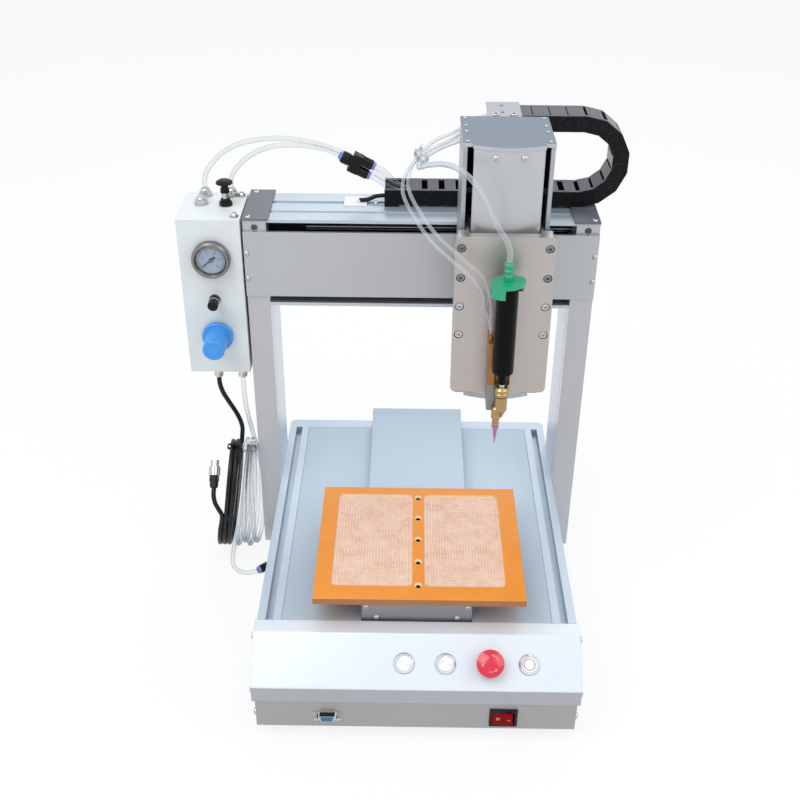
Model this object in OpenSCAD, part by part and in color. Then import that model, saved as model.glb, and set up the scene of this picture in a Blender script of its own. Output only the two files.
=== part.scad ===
// Desktop dispensing robot: a bench frame with a moving table, a gantry with a
// cross axis and a vertical axis that carries a syringe, and an air panel.
// X runs to the right, Y to the back and Z up, in millimetres. The origin lies
// on the standing surface under the middle of the base.

/* [Base] */
// Width over the two side rails
base_w = 357; // [340:1:400]
// Depth from the console lip to the back of the rear bar
base_d = 472; // [465:1:520]
// Height of the base above its feet
base_h = 100; // [95:1:125]
// Height of the rubber feet
foot_h = 18; // [16:1:30]
// Diameter of a rubber foot
foot_dia = 34; // [20:1:44]
// Distance of each foot from the edges of the base
foot_inset = 34; // [26:1:60]
// Width of a side rail
rail_w = 27; // [24:1:36]
// Opening of the T-slot along each side rail
slot_w = 8; // [6:0.5:10]
// Thickness of the rear bar
rear_t = 18; // [12:1:24]
// Thickness of the deck plates
deck_t = 4; // [3:0.5:6]
// Sheet thickness of the bottom pan
pan_t = 2; // [1.5:0.5:3]

/* [Console] */
// How far each cheek stands out from the side rails
cheek_over = 2; // [0:0.5:6]
// Sheet thickness of the console
con_t = 3; // [2:0.5:4]
// Depth of the console from its lip to its rear edge
con_d = 64; // [60:1:80]
// Height of the lower front panel
panel_h = 39; // [36:1:46]
// Height of the console lip
lip_h = 20; // [14:1:24]
// Depth of the level strip behind the slope
strip_d = 19; // [10:1:24]
// Outer radius of the console's folds
fold_r = 4; // [3.5:0.5:8]
// How far the lower front panel sits behind the lip
panel_set = 1.5; // [0.5:0.5:2.5]

/* [Controls] */
// Outer diameter of a push button bezel
bezel_dia = 22; // [20:0.5:26]
// Diameter of a push button cap
cap_dia = 16.6; // [12:0.1:17]
// Travel of a push button
cap_travel = 2; // [1:0.5:3]
// X position of the manual dispense button
dispense_x = -13.5; // [-60:0.5:0]
// X position of the reset button
reset_x = 32; // [20:0.5:45]
// X position of the emergency stop
estop_x = 80; // [75:0.5:88]
// X position of the start button
start_x = 123.5; // [115:0.5:150]
// Diameter of the emergency stop head
estop_dia = 30.5; // [26:0.5:38]
// Travel of the emergency stop head
estop_travel = 4; // [2:0.5:5]
// X position of the teach pendant socket
port_x = -98; // [-140:1:-40]
// X position of the power switch
switch_x = 97; // [40:1:140]
// Width of the power switch bezel
switch_w = 31; // [28:0.5:34]
// Height of the power switch bezel
switch_h = 25; // [22:0.5:27]
// Tilt of the power switch from its middle to one side
switch_tilt = 9; // [6:1:10]

/* [Table axis] */
// Width of the table axis under its cover
axis_w = 122; // [118:1:130]
// Height of the axis cover
hat_h = 14; // [10:1:20]
// Sheet thickness of the axis cover
hat_t = 3; // [2:0.5:4]
// Thickness of the front end plate
end_t = 10; // [8:1:14]
// Width of the table plate
table_w = 164; // [156:1:200]
// Depth of the table plate
table_d = 150; // [120:1:180]
// Thickness of the table plate
table_t = 5.5; // [5:0.5:12]
// Width of the fixture plate
fix_w = 234; // [180:1:260]
// Depth of the fixture plate
fix_d = 204; // [180:1:210]
// Thickness of the fixture plate
fix_t = 8; // [6:0.5:12]
// X position of the fixture plate's middle
fix_x = 2.5; // [-10:0.5:10]
// Y position of the fixture plate's middle
fix_y = -79; // [-90:1:-70]
// Width of a fixture pocket
pocket_w = 90.5; // [60:0.5:95]
// Depth of a fixture pocket from front to back
pocket_d = 168; // [120:1:174]
// How deep the pockets are milled
pocket_cut = 2.5; // [1:0.5:4]
// Width of the rib between the pockets
rib_w = 13.4; // [11:0.2:20]

/* [Gantry] */
// Width of an upright
up_w = 27; // [24:1:40]
// Depth of an upright
up_d = 87; // [82:1:110]
// Y position of the front face of the uprights
up_y = 95; // [90:1:110]
// Clearance under the uprights
up_lift = 13; // [5:1:15]
// Height of the top of the beam
beam_top = 484; // [460:1:540]
// Height of the beam
beam_h = 110; // [106:1:130]
// Depth of the beam
beam_d = 81; // [81:1:86]
// Thickness of the beam's top and bottom flanges
flange_t = 4; // [3:0.5:6]
// Height of the beam's front cover
cover_h = 82; // [76:1:84]
// Thickness of the beam's front cover
cover_t = 4; // [2:0.5:5]
// Thickness of the end caps on the uprights
cap_t = 2; // [1:0.5:3]

/* [Vertical axis] */
// X position of the head at rest
head_x = 87.5; // [60:0.5:95]
// Width of the vertical axis body
z_w = 94; // [90:1:110]
// Depth of the vertical axis body
z_d = 86; // [84:1:88]
// Height of the vertical axis body and cap
z_len = 296.5; // [290:0.5:330]
// Height of the top of the head above the beam
z_rise = 126; // [121:1:156]
// Width of the bowed front cover
bow_w = 73; // [66:1:76]
// How far the front cover bows out
bow_rise = 8; // [4:1:10]
// Sheet thickness of the front cover
bow_t = 2.5; // [1.5:0.5:3]
// Width of the tool plate
plate_w = 106; // [104:1:130]
// Height of the tool plate
plate_h = 188; // [160:1:200]
// Thickness of the tool plate
plate_t = 10; // [8:1:14]
// Height of the top of the tool plate above the beam at rest
plate_rise = 35.5; // [26:0.5:41]
// Corner radius of the tool plate
plate_r = 6; // [3:1:12]

/* [Dispenser] */
// Outer diameter of the syringe barrel
syr_dia = 22.9; // [18:0.1:26]
// Distance of the syringe axis in front of the tool plate
syr_reach = 35; // [30:1:40]
// Distance of the syringe axis to the right of the tool plate's middle
syr_off = 1.2; // [-2:0.1:2]
// Depth of the bottom of the barrel below the top of the beam
syr_drop = 104.5; // [99:0.5:119]
// Length of the barrel
syr_len = 103; // [90:0.5:120]
// Length of the adapter cap's ears over their round ends
ear_len = 40; // [36:1:50]
// Diameter of the valve body
valve_dia = 16; // [14:0.5:20]
// Distance of the valve's outlet to the left of the syringe axis
outlet_off = 4.5; // [3:0.5:5]
// Length of the dispensing tip
tip_len = 23; // [15:1:40]

/* [Air panel] */
// Width of the air panel box
box_w = 73.5; // [70:0.5:100]
// Gap between the air panel box and the upright
box_gap = 2.5; // [1:0.5:5]
// Depth of the air panel box
box_d = 84; // [80:1:87]
// Height of the air panel box
box_h = 201; // [190:1:230]
// Sheet thickness of the air panel box
box_t = 1.5; // [1:0.5:3]
// Diameter of the pressure gauge
gauge_dia = 45; // [38:1:52]
// Depth of the pressure gauge in front of the box
gauge_d = 11; // [8:1:16]
// Diameter of the suck-back knob
suck_dia = 14; // [12:0.5:18]
// Diameter of the regulator knob's skirt
reg_dia = 37; // [34:1:44]
// Length of the regulator knob
reg_len = 38; // [30:1:44]
// Stroke of the push-pull hand valve
valve_stroke = 6; // [3:0.5:8]

/* [Drag chain] */
// Pitch of the links
link_p = 20; // [19:0.5:24]
// Height of the links
link_h = 18.5; // [16:0.5:19]
// Width of the chain
chain_w = 39; // [34:1:39]
// Links in the half turn
bend_n = 7; // [6:1:8]
// Links that lie on the beam
lower_n = 10; // [8:1:11]
// Links between the half turn and the head
upper_n = 4; // [3:1:4]

/* [Fits] */
// Clearance of pieces that slip together and stay
fit = 0.25; // [0.1:0.05:0.4]
// Radial clearance of shafts, knobs and buttons
run = 0.06; // [0.02:0.01:0.1]
// Clearance of the carriages over still pieces
glide = 1.5; // [1:0.1:2]

/* [Hidden] */

$fn = 48;
// Overshoot of cutting shapes past the faces that they open
cut = 1;

// Base and console
y_front = -base_d / 2;
y_rear = base_d / 2;
half_w = base_w / 2;
pan_top = foot_h + pan_t;
deck_z = foot_h + base_h;
con_w = base_w + 2 * cheek_over;
pan_w = con_w - 2 * con_t - 2 * fit;
con_back = y_front + con_d;
panel_y = y_front + panel_set;
lip_z0 = foot_h + panel_h;
lip_z1 = lip_z0 + lip_h;
slope_y1 = con_back - strip_d;
slope_run = slope_y1 - y_front;
slope_rise = deck_z - lip_z1;
slope_a = atan2(slope_rise, slope_run);
slope_at = 0.475;
rail_x0 = half_w - rail_w;
ledge_w = 8;
ledge_t = 4;
slot_lip = 3;
slot_deep = 9;
slot_side = 4;
chamber_wall = 4;
bar_r = 8;

// Controls
bezel_h = 2;
bezel_barrel = 20;
cap_proud = 1.2;
port_z = 16.5;
port_w = 31;
port_h = 12.5;
port_t = 1;
shell_w = 17;
shell_h = 8.6;
shell_d = 5.5;
post_dia = 5;
post_pitch = 25;
estop_stem = 12;
estop_collar = 3;
estop_gap = 5;
estop_h = 13;
switch_lip = 2;
switch_body = 22;
switch_in = 2;
rock_w = switch_w - 6;
rock_h = switch_h - 8;
rock_pin = 3;

// Table axis
plate_half = axis_w / 2 + 0.5;
deck_x0 = plate_half + 2 * fit;
seat_w = 8;
bed_in = axis_w / 2 - 3;
bed_out = deck_x0 + seat_w;
arm_t = 7;
arm_z0 = deck_z + glide;
arm_z1 = arm_z0 + arm_t;
hat_z0 = arm_z1 + glide;
hat_z1 = hat_z0 + hat_h;
table_z0 = hat_z1 + 2.5;
table_z1 = table_z0 + table_t;
fix_z1 = table_z1 + fix_t;
guide_h = 24;
guide_w = 15;
guide_rise = 12.5;
guide_run = 0.1;
weld = 0.01;
block_w = 34;
block_lift = 4.5;
web_t = 12;
web_z1 = arm_z0 - guide_h;
web_z0 = web_z1 - web_t;
end_y0 = con_back + 3;
end_y1 = end_y0 + end_t;
hat_end_y = y_rear - rear_t + 1;
hat_end_t = 12;
motor_w = 42.3;
motor_len = 40;
motor_gap = 0.85;
motor_pilot = 22;
motor_step = 2;
journal = 5;
journal_len = 12;
screw_dia = 8;
bearing = 6;
y_screw_x = bed_in - motor_w / 2 - motor_gap;
y_screw_z = arm_z0 - 13.5;
wall_t = 6;
motor_face_y = y_rear - rear_t - motor_len - 8;
y_block = fix_y + 30;
block_len = 80;
arm_len = 90;
riser_w = 16;
riser_x0 = table_w / 2 - riser_w;
nut_w = 18;
nut_l = 24;
pocket_r = 6;
rib_x = fix_x - 1.3;
hole_n = 5;
hole_pitch = 40;
hole_dia = 5;
sink_dia = 9;
sink_h = 2.6;
pocket_y = fix_y + 4.5;

// Gantry and cross axis
beam_z0 = beam_top - beam_h;
beam_mid = beam_top - beam_h / 2;
beam_y1 = up_y + beam_d;
wall_y = 65 + up_y;
cav_z0 = beam_z0 + flange_t;
cav_z1 = beam_top - flange_t;
cover_z0 = beam_mid - cover_h / 2;
cover_z1 = beam_mid + cover_h / 2;
cover_y0 = up_y - cover_t;
up_x1 = half_w + up_w;
groove_w = 1.5;
groove_d = 1;
groove_at = 14;
lug_hole = 8;
top_slot_y = [24, 53];
top_slot_w = [6, 8];
top_slot_d = [1.5, 2.5];
x_screw_y = wall_y - 23;
x_screw_z = cav_z1 - motor_w / 2 - motor_gap;
x_motor_face = -half_w + motor_len;
car_half = 33;
car_y1 = wall_y - 34;
car_t = 12;
car_y0 = car_y1 - car_t;

// Vertical axis
z_back = cover_y0 - 5;
z_front = z_back - z_d;
z_top = beam_top + z_rise;
z_bottom = z_top - z_len;
zcap_t = 4;
zcap_z0 = z_top - zcap_t;
z_side = 4.5;
z_in = z_w / 2 - z_side;
z_wall = z_back - 24;
foot_plate = 6;
bow_edge = z_front - 6;
bow_r = (pow(bow_w / 2, 2) + pow(bow_rise, 2)) / (2 * bow_rise);
bow_cy = bow_edge - bow_rise + bow_r;
bow_front = bow_edge - bow_rise;
tab_h = 16;
tab_w = 60;
z_screw_y = z_front + 21;
shelf_t = 6;
shelf_z = zcap_z0 - motor_len - 4 - shelf_t;
plate_top = beam_top + plate_rise;
plate_y1 = bow_front - 4;
plate_y0 = plate_y1 - plate_t;
slide_h = 62;
slide_z = plate_top - 33.5;
slide_y1 = z_wall - guide_h;
slide_y0 = slide_y1 - 9;
zarm_t = 4;
zarm_x1 = z_in - 1;
lug_x1 = z_w / 2 + 3;
lug_d = 14;
bolt_x = 46;
bolt_z = [-13, -47, -81, -115];
bolt_dia = 5.5;
bore_dia = 9.5;
bore_h = 5;

// Dispenser
syr_y = plate_y0 - syr_reach;
syr_z = beam_top - syr_drop;
syr_r = syr_dia / 2;
neck_dia = 9.5;
neck_len = 10;
cone_len = 5;
neck_z = syr_z - cone_len - neck_len;
hold_left = 14.5;
hold_right = 10;
hold_y0 = syr_y + 5;
hold_z1 = syr_z + 30.5;
hold_z0 = syr_z - 20.5;
foot_left = 14;
foot_right = 8.7;
foot_z0 = hold_z0 - 32.5;
valve_neck = 4.5;
valve_z1 = neck_z - valve_neck;
valve_len = 50;
valve_z0 = valve_z1 - valve_len;
tip_r1 = 3.8;
tip_r0 = 0.5;
flange_z = syr_z + syr_len;
flange_over = 4;
ear_turn = 22;
ear_h = 4;
ear_deep = 30;
ear_skirt = 11;
stem_len = 21;
port_back = [12, 20];
port_in = 3;

// Air panel
box_x1 = -up_x1 - box_gap;
box_x0 = box_x1 - box_w;
box_y0 = cover_y0;
box_z1 = beam_top;
box_z0 = box_z1 - box_h;
box_mid = (box_x0 - up_x1) / 2;
gauge_z = box_z1 - 47;
suck_z = box_z1 - 100;
reg_z = box_z1 - 148.5;
stem_dia = 8;
reg_post = 12;
boss_h = 3;
knob_lift = 0.3;
pad_dia = 18;
pad_set = 34;
fitting_dia = 15.5;
washer_dia = 17;
washer_t = 1.2;
supply_at = [-15.5, 49];
feed_at = [-14.5, 75];
branch_at = [17, 75];
hand_at = [14, 45];
gland_at = [-6.5, 13];
exit_at = [23.5, 13];
gland_len = 14;
fitting_tall = 10;
supply_tall = 9.5;
hand_tall = 10;
fitting_hex = 4;
fitting_root = 6;
suck_post = 10;
reg_stub = 20;

// Drag chain
link_r = link_h / 2;
bend_step = 180 / bend_n;
bend_r = link_p / (2 * sin(bend_step / 2));
chain_y = beam_y1 - chain_w / 2 - 0.5;
chain_z = beam_top + cap_t + 0.3 + link_r;
bend_x = 184;
end_len = 27;
ear_t = 2.5;
ear_gap = 0.1;
turn_gap = 0.2;
link_pin = 2.5;
lid_t = 2;
lid_set = 3.5;
bracket_t = 2.5;
bracket_z = chain_z + 2 * bend_r + link_r + 0.3;
bracket_x1 = bend_x - upper_n * link_p + 7;
bracket_w = 38;
bracket_drop = 52;

// Y connector over the beam: its middle, then its neck, body and two branches
split_at = [-76, 150, 48];
split_r = 6.5;
split_back = 7;
split_front = 5;
split_half = 11;
inlet_len = 14;
branch_r = 6;
branch_set = 6.4;
branch_len = 13;

// Hoses and cables: routes chosen by hand, one ring at each point. Those of the
// feed and head hoses give their heights above the top of the beam
sides = 8;
hose_r = 3;
thin_r = 2;
lead_r = 3;
level = [0, 1, 0];
aslant = [1, 0.2, 0.6];
function over_beam(route) = [for (q = route) q + [0, 0, beam_top]];
route_a = over_beam([[-258, 166, 10], [-258, 166, 20], [-251, 164, 36], [-232, 161, 56],
    [-209, 159, 68], [-176, 158, 74], [-143, 160, 72], [-120, 165, 65], [-92, 168, 54], [-62, 167, 36],
    [-36, 164, 19], [-14, 162, 13]]);
route_b = over_beam([[-226.5, 166, 10], [-226.5, 166, 20], [-218, 164, 36], [-200, 160, 53],
    [-176, 155, 65], [-148, 151, 69], [-124, 150, 67], [-108, 150, 63.5], [-92.9, 150, 56.6]]);
route_c = over_beam([[-58, 150, 46], [-44, 150, 39], [-30, 153, 24], [-14, 155, 14]]);
route_d = over_beam([[-63.8, 150, 34.6], [-51, 150, 28], [-36, 149, 18], [-14, 148, 13]]);
route_e = over_beam([[-75, 149, 2.7], [-62, 151, 3.5], [-54, 154, 6], [-36, 156, 7], [-14, 157, 7]]);
route_s = over_beam([[98, 146, 105.5], [76, 145, 104.5], [58, 130, 101], [42, 96, 97], [20, 78, 94],
    [2, 62, 88], [-4, 50, 82], [4, 38, 88], [20, 15, 98], [34, -10, 103], [46, -30, 101], [57, -45, 92],
    [66, -56, 77], [76, -62, 60], [85, -63, 46], [88.7, -63, 35], [88.7, -63, 24]]);
route_t = over_beam([[98, 155, 106.5], [76, 152, 106.5], [60, 139, 106], [35, 99, 104],
    [13, 82, 99.5], [-1.5, 66.5, 92], [-12, 50, 81.5], [-15, 34, 68], [-11, 18, 59], [0, -2, 48],
    [13, -22, 37], [31, -40, 26], [50, -48, 12], [67, -49, -6], [74, -47, -36], [75.5, -48, -67.4]]);
route_u = over_beam([[98, 166, 106.5], [57, 146, 96], [31, 104, 93], [8, 86, 88], [-5, 68, 84],
    [-18, 53, 73], [-21, 35, 61], [-16, 17, 52], [-5, -4, 41], [10, -26, 29], [29, -45, 18],
    [49, -55, 4], [64, -55, -16], [66.5, -48, -34], [72, -41.5, -50], [75.5, -40, -67.4]]);
route_p = [[-250, 104, 269], [-250, 104, 258], [-247, 105, 244], [-241, 108, 228], [-235, 113, 211],
    [-231, 119, 194], [-230, 126, 177], [-232, 131.5, 161.5]];
route_q = [[-253.5, 54, 86], [-257, 53.5, 97], [-261, 55, 106], [-263, 59.5, 114.5], [-263, 66, 122]];
route_h = [[-220, 104, 269], [-220, 104, 250], [-220, 107, 228], [-219, 113, 205], [-218, 122, 184],
    [-217, 130.5, 163]];
route_k = [[-246, 80, 15.2], [-246, 67, 12], [-245, 54, 8], [-240.9, 45.2, 5.4], [-232.1, 38.2, 4.6],
    [-222, 36, 5.3], [-213.8, 37.4, 6], [-207.2, 41.1, 6.5]];
hank_mid = [98, 91.75];
hank_r = 50;
hank_thick = 15;
hank_tall = 159.5;
air_low = [-248.5, -207];
air_high = [-226, -206.8];
power_low = [-268, -249.3];
power_high = [-245.3, -226.8];
plug_tilt = 41;
plug_r = 7.5;
plug_len = 36;
collar_r = 5.5;
collar_len = 7;
nut_r = 6.2;
nut_len = 16;

// An outline in Y and Z, drawn out along X
module along_x(x0, x1) {
    translate([x0, 0, 0]) rotate([90, 0, 90]) linear_extrude(x1 - x0) children();
}

// An outline in X and Z, drawn out along Y
module along_y(y0, y1) {
    translate([0, y1, 0]) rotate([90, 0, 0]) linear_extrude(y1 - y0) children();
}

// A box from its lowest to its highest corner
module block(a, b) {
    translate(a) cube(b - a);
}

// A rectangle with round corners, centred
module round_rect(w, h, r) {
    square([w - 2 * r, h], center = true);
    square([w, h - 2 * r], center = true);
    for (x = [-1, 1], y = [-1, 1])
        translate([x * (w / 2 - r), y * (h / 2 - r)]) circle(r);
}

// Both sides of the machine
module both_sides() {
    children();
    mirror([1, 0, 0]) children();
}

// A place on the console slope, with Z square to the panel
module on_slope(x) {
    translate([x, y_front + slope_run * slope_at, lip_z1 + slope_rise * slope_at])
        rotate([slope_a, 0, 0]) children();
}

// A place on the front of the air panel, with Z towards the user
module on_box(z, x = box_mid) {
    translate([x, box_y0, z]) rotate([90, 0, 0]) children();
}

// A place on the air panel's top or bottom, from its middle and its front
module box_spot(at, z) {
    translate([box_mid + at[0], box_y0 + at[1], z]) children();
}

// Unit vector
function unit(v) = v / norm(v);

// Direction of a route at one of its points
function heading(r, i) = unit(r[min(i + 1, len(r) - 1)] - r[max(i - 1, 0)]);

// One ring of a hose about a point of its route
function ring(p, t, side, rad) =
    let (u = unit(cross(side, t)), v = cross(t, u))
    [for (k = [0:sides - 1]) p + rad * (cos(k * 360 / sides) * u + sin(k * 360 / sides) * v)];

// A hose along a route: side is a direction that the route never takes
module hose(route, rad, side) {
    n = len(route);
    skin = [for (i = [0:n - 1], p = ring(route[i], heading(route, i), side, rad)) p];
    walls = [for (i = [0:n - 2], k = [0:sides - 1])
        let (a = i * sides + k, b = i * sides + (k + 1) % sides) [a, a + sides, b + sides, b]];
    ends = [[for (k = [0:sides - 1]) k], [for (k = [1:sides]) n * sides - k]];
    polyhedron(skin, concat(walls, ends), convexity = 4);
}

// Section of a profile guide rail standing on its base, grown by a clearance
module guide_section(grow = 0) {
    w = guide_w / 2 + grow;
    waist = w - 1.5;
    h = guide_rise + grow;
    polygon([[-w, 0], [w, 0], [w, 4], [waist, 5.5], [waist, 8], [w, 9.5], [w, h],
        [-w, h], [-w, 9.5], [-waist, 8], [-waist, 5.5], [-w, 4]]);
}

// Section of the runner block on a guide rail
module runner_section() {
    difference() {
        translate([-block_w / 2, block_lift]) square([block_w, guide_h - block_lift]);
        guide_section(guide_run);
        translate([-guide_w / 2 - guide_run, -cut]) square([guide_w + 2 * guide_run, block_lift]);
    }
}

// Stepper motor with its face at Z = 0 and its shaft side up
module stepper() {
    chamfer = 4;
    s = motor_w / 2;
    c = s - chamfer;
    difference() {
        union() {
            translate([0, 0, -motor_len]) linear_extrude(motor_len)
                polygon([[s, c], [c, s], [-c, s], [-s, c], [-s, -c], [-c, -s], [c, -s], [s, -c]]);
            cylinder(d = motor_pilot, h = motor_step);
        }
        translate([0, 0, motor_step - journal_len - cut])
            cylinder(d = journal + 2 * run, h = journal_len + 2 * cut);
    }
}

// Drive screw from its motor's face at Z = 0 to its far bearing
module drive_screw(length) {
    gap = motor_step + 0.5;
    translate([0, 0, motor_step - journal_len]) cylinder(d = journal, h = journal_len + cut);
    translate([0, 0, gap]) cylinder(d = screw_dia, h = length - gap);
}

// Folded pan: floor, lower front panel and side walls under the console
module base_pan() {
    color("gainsboro") difference() {
        union() {
            block([-pan_w / 2, panel_y, foot_h], [pan_w / 2, y_rear, pan_top]);
            block([-pan_w / 2, panel_y, foot_h], [pan_w / 2, panel_y + pan_t, lip_z0 - fit]);
            both_sides() {
                block([pan_w / 2 - pan_t, panel_y, foot_h], [pan_w / 2, con_back - fit, lip_z0 - fit]);
                block([pan_w / 2 - pan_t, y_front + con_t + cut, foot_h],
                    [pan_w / 2, con_back - strip_d, lip_z0 + lip_h / 3]);
            }
        }
        translate([port_x, panel_y, foot_h + port_z])
            cube([shell_w + 2 * fit, 4 * pan_t, shell_h + 2 * fit], center = true);
        translate([switch_x, panel_y, foot_h + port_z + cut])
            cube([switch_w - 2 * switch_in, 4 * pan_t, switch_h - 2 * switch_in], center = true);
    }
}

// Section of the right side rail: T-slot on top, ledge for the deck plate
module rail_section() {
    mid = half_w - rail_w / 2;
    difference() {
        union() {
            translate([rail_x0, pan_top]) square([rail_w, deck_z - pan_top]);
            translate([rail_x0 - ledge_w, deck_z - deck_t - ledge_t]) square([ledge_w + cut, ledge_t]);
        }
        translate([mid - slot_w / 2, deck_z - slot_deep]) square([slot_w, slot_deep + cut]);
        translate([mid - slot_w / 2 - slot_side, deck_z - slot_deep])
            square([slot_w + 2 * slot_side, slot_deep - slot_lip]);
        translate([rail_x0 + chamber_wall, pan_top + chamber_wall])
            square([rail_w - 2 * chamber_wall, deck_z - slot_deep - pan_top - 2 * chamber_wall]);
    }
}

// Base frame: two extruded side rails and the rear bar with round ends
module base_frame() {
    color("lightsteelblue") {
        both_sides() along_y(con_back + fit, y_rear - rear_t + cut) rail_section();
        translate([0, 0, pan_top]) linear_extrude(deck_z - pan_top) {
            translate([-half_w, y_rear - rear_t]) square([base_w, rear_t - bar_r]);
            translate([-half_w + bar_r, y_rear - rear_t]) square([base_w - 2 * bar_r, rear_t]);
            for (s = [-1, 1]) translate([s * (half_w - bar_r), y_rear - bar_r]) circle(bar_r);
        }
    }
}

// Deck plates between the side rails and the table axis
module deck_plates() {
    color("lightsteelblue") both_sides()
        block([deck_x0, con_back + fit, deck_z - deck_t], [rail_x0 - fit, y_rear - rear_t - fit, deck_z]);
}

// Console from the side, with rounded folds; it runs on behind and below
module console_outline() {
    more = 20;
    offset(r = fold_r) offset(delta = -fold_r)
        polygon([[y_front, lip_z0 - more], [y_front, lip_z1], [slope_y1, deck_z],
            [con_back + more, deck_z], [con_back + more, lip_z0 - more]]);
}

// The part of the console's outline that is made
module console_side() {
    intersection() {
        console_outline();
        translate([y_front, lip_z0]) square([con_back - y_front, deck_z - lip_z0]);
    }
}

// Console cover: lip, slope and strip in one fold, with a cheek at each end
module console() {
    color("gainsboro") difference() {
        union() {
            along_x(-con_w / 2, con_w / 2) difference() {
                console_side();
                offset(delta = -con_t) console_outline();
            }
            both_sides() along_x(con_w / 2 - con_t, con_w / 2) console_side();
        }
        for (x = [dispense_x, reset_x, start_x, estop_x]) on_slope(x)
            translate([0, 0, -2 * con_t]) cylinder(d = bezel_dia - 3 + 2 * fit, h = 4 * con_t);
    }
}

// Rubber feet under the pan
module feet() {
    taper = 3;
    color("dimgray") for (x = [-1, 1], y = [-1, 1])
        translate([x * (half_w - foot_inset), y * (base_d / 2 - foot_inset), 0])
            cylinder(d1 = foot_dia - taper, d2 = foot_dia, h = foot_h);
}

// Teach pendant socket: flange, D-shaped shell and jack posts
module dsub_socket() {
    slant = 1.4;
    w = shell_w / 2;
    h = shell_h / 2;
    color("royalblue") translate([port_x, panel_y, foot_h + port_z]) {
        translate([-port_w / 2, -port_t, -port_h / 2]) cube([port_w, port_t, port_h]);
        rotate([90, 0, 0]) linear_extrude(shell_d)
            polygon([[-w, h], [w, h], [w - slant, -h], [-w + slant, -h]]);
        translate([-w, 0, -h]) cube([shell_w, 2 * shell_d, shell_h]);
        for (s = [-1, 1]) translate([s * post_pitch / 2, 0, 0]) rotate([90, 0, 0])
            cylinder(d = post_dia, h = shell_d, $fn = 6);
    }
}

// Housing of the power switch with its window
module rocker_bezel() {
    w = switch_w - 2 * switch_in - 2 * fit;
    h = switch_h - 2 * switch_in - 2 * fit;
    color("black") translate([switch_x, panel_y, foot_h + port_z + cut]) difference() {
        union() {
            translate([-switch_w / 2, -switch_lip, -switch_h / 2]) cube([switch_w, switch_lip, switch_h]);
            translate([-w / 2, 0, -h / 2]) cube([w, switch_body, h]);
        }
        translate([-rock_w / 2 + fit, -switch_lip - cut, -rock_h / 2 - fit])
            cube([rock_w - 2 * fit, switch_body - 2 * switch_lip + cut, rock_h + 2 * fit]);
        translate([0, switch_lip, -rock_h / 2 - 2])
            cylinder(d = rock_pin + 2 * run, h = rock_h + 4);
    }
}

// Rocker with its two faces, its hub and its pivot pins, tilted to off
module rocker() {
    reach = rock_w / 2 - 1.5;
    top = 6.4;
    hub = 5;
    color("crimson") translate([switch_x, panel_y + switch_lip, foot_h + port_z + cut])
        rotate([0, 0, -switch_tilt]) {
            translate([0, 0, -rock_h / 2]) linear_extrude(rock_h) {
                polygon([[-reach, -top], [0, -top + 1.8], [reach, -top], [reach, -1], [-reach, -1]]);
                circle(hub);
            }
            translate([0, 0, -rock_h / 2 - 1.7]) cylinder(d = rock_pin, h = rock_h + 3.4);
        }
}

// One push button bezel with its threaded barrel
module bezel(bore) {
    difference() {
        union() {
            cylinder(d = bezel_dia, h = bezel_h);
            translate([0, 0, -bezel_barrel]) cylinder(d = bezel_dia - 3, h = bezel_barrel + cut);
        }
        translate([0, 0, bezel_h - bezel_barrel]) cylinder(d = bore + 2 * run, h = bezel_barrel + cut);
    }
}

// Bezels of the three buttons and the emergency stop's collar
module panel_bezels() {
    color("silver") {
        for (x = [dispense_x, reset_x, start_x]) on_slope(x) bezel(cap_dia);
        on_slope(estop_x) difference() {
            union() {
                cylinder(d = bezel_dia + 2, h = estop_collar);
                translate([0, 0, -bezel_barrel]) cylinder(d = bezel_dia - 3, h = bezel_barrel + cut);
            }
            translate([0, 0, bezel_h - bezel_barrel])
                cylinder(d = estop_stem + 2 * run, h = bezel_barrel + estop_collar);
        }
    }
}

// A push button cap in its bezel
module button_cap(x) {
    on_slope(x) translate([0, 0, bezel_h - bezel_barrel + cap_travel + 0.5]) {
        h = bezel_barrel - cap_travel - 0.5 + cap_proud;
        rotate_extrude() polygon([[0, 0], [cap_dia / 2, 0], [cap_dia / 2, h - 0.6],
            [cap_dia / 2 - 0.6, h], [0, h]]);
    }
}

// Manual dispense button
module button_dispense() {
    color("silver") button_cap(dispense_x);
}

// Reset button
module button_reset() {
    color("silver") button_cap(reset_x);
}

// Start button
module button_start() {
    color("silver") button_cap(start_x);
}

// Red mushroom head of the emergency stop on its stem
module estop_head() {
    r = estop_dia / 2;
    z = estop_collar + estop_gap;
    color("crimson") on_slope(estop_x) {
        translate([0, 0, bezel_h - bezel_barrel + estop_travel + 1])
            cylinder(d = estop_stem, h = z + bezel_barrel - bezel_h - estop_travel);
        translate([0, 0, z]) rotate_extrude() intersection() {
            union() {
                translate([0, 0]) square([r, 4]);
                translate([0, 4]) square([r - 3, estop_h - 4]);
                translate([r - 3 - 3, estop_h - 6]) circle(6);
                translate([0, 4]) square([r, estop_h - 10]);
            }
            square([r, estop_h]);
            translate([0, estop_h - 2.2 * r]) circle(2.2 * r, $fn = 96);
        }
    }
}

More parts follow.
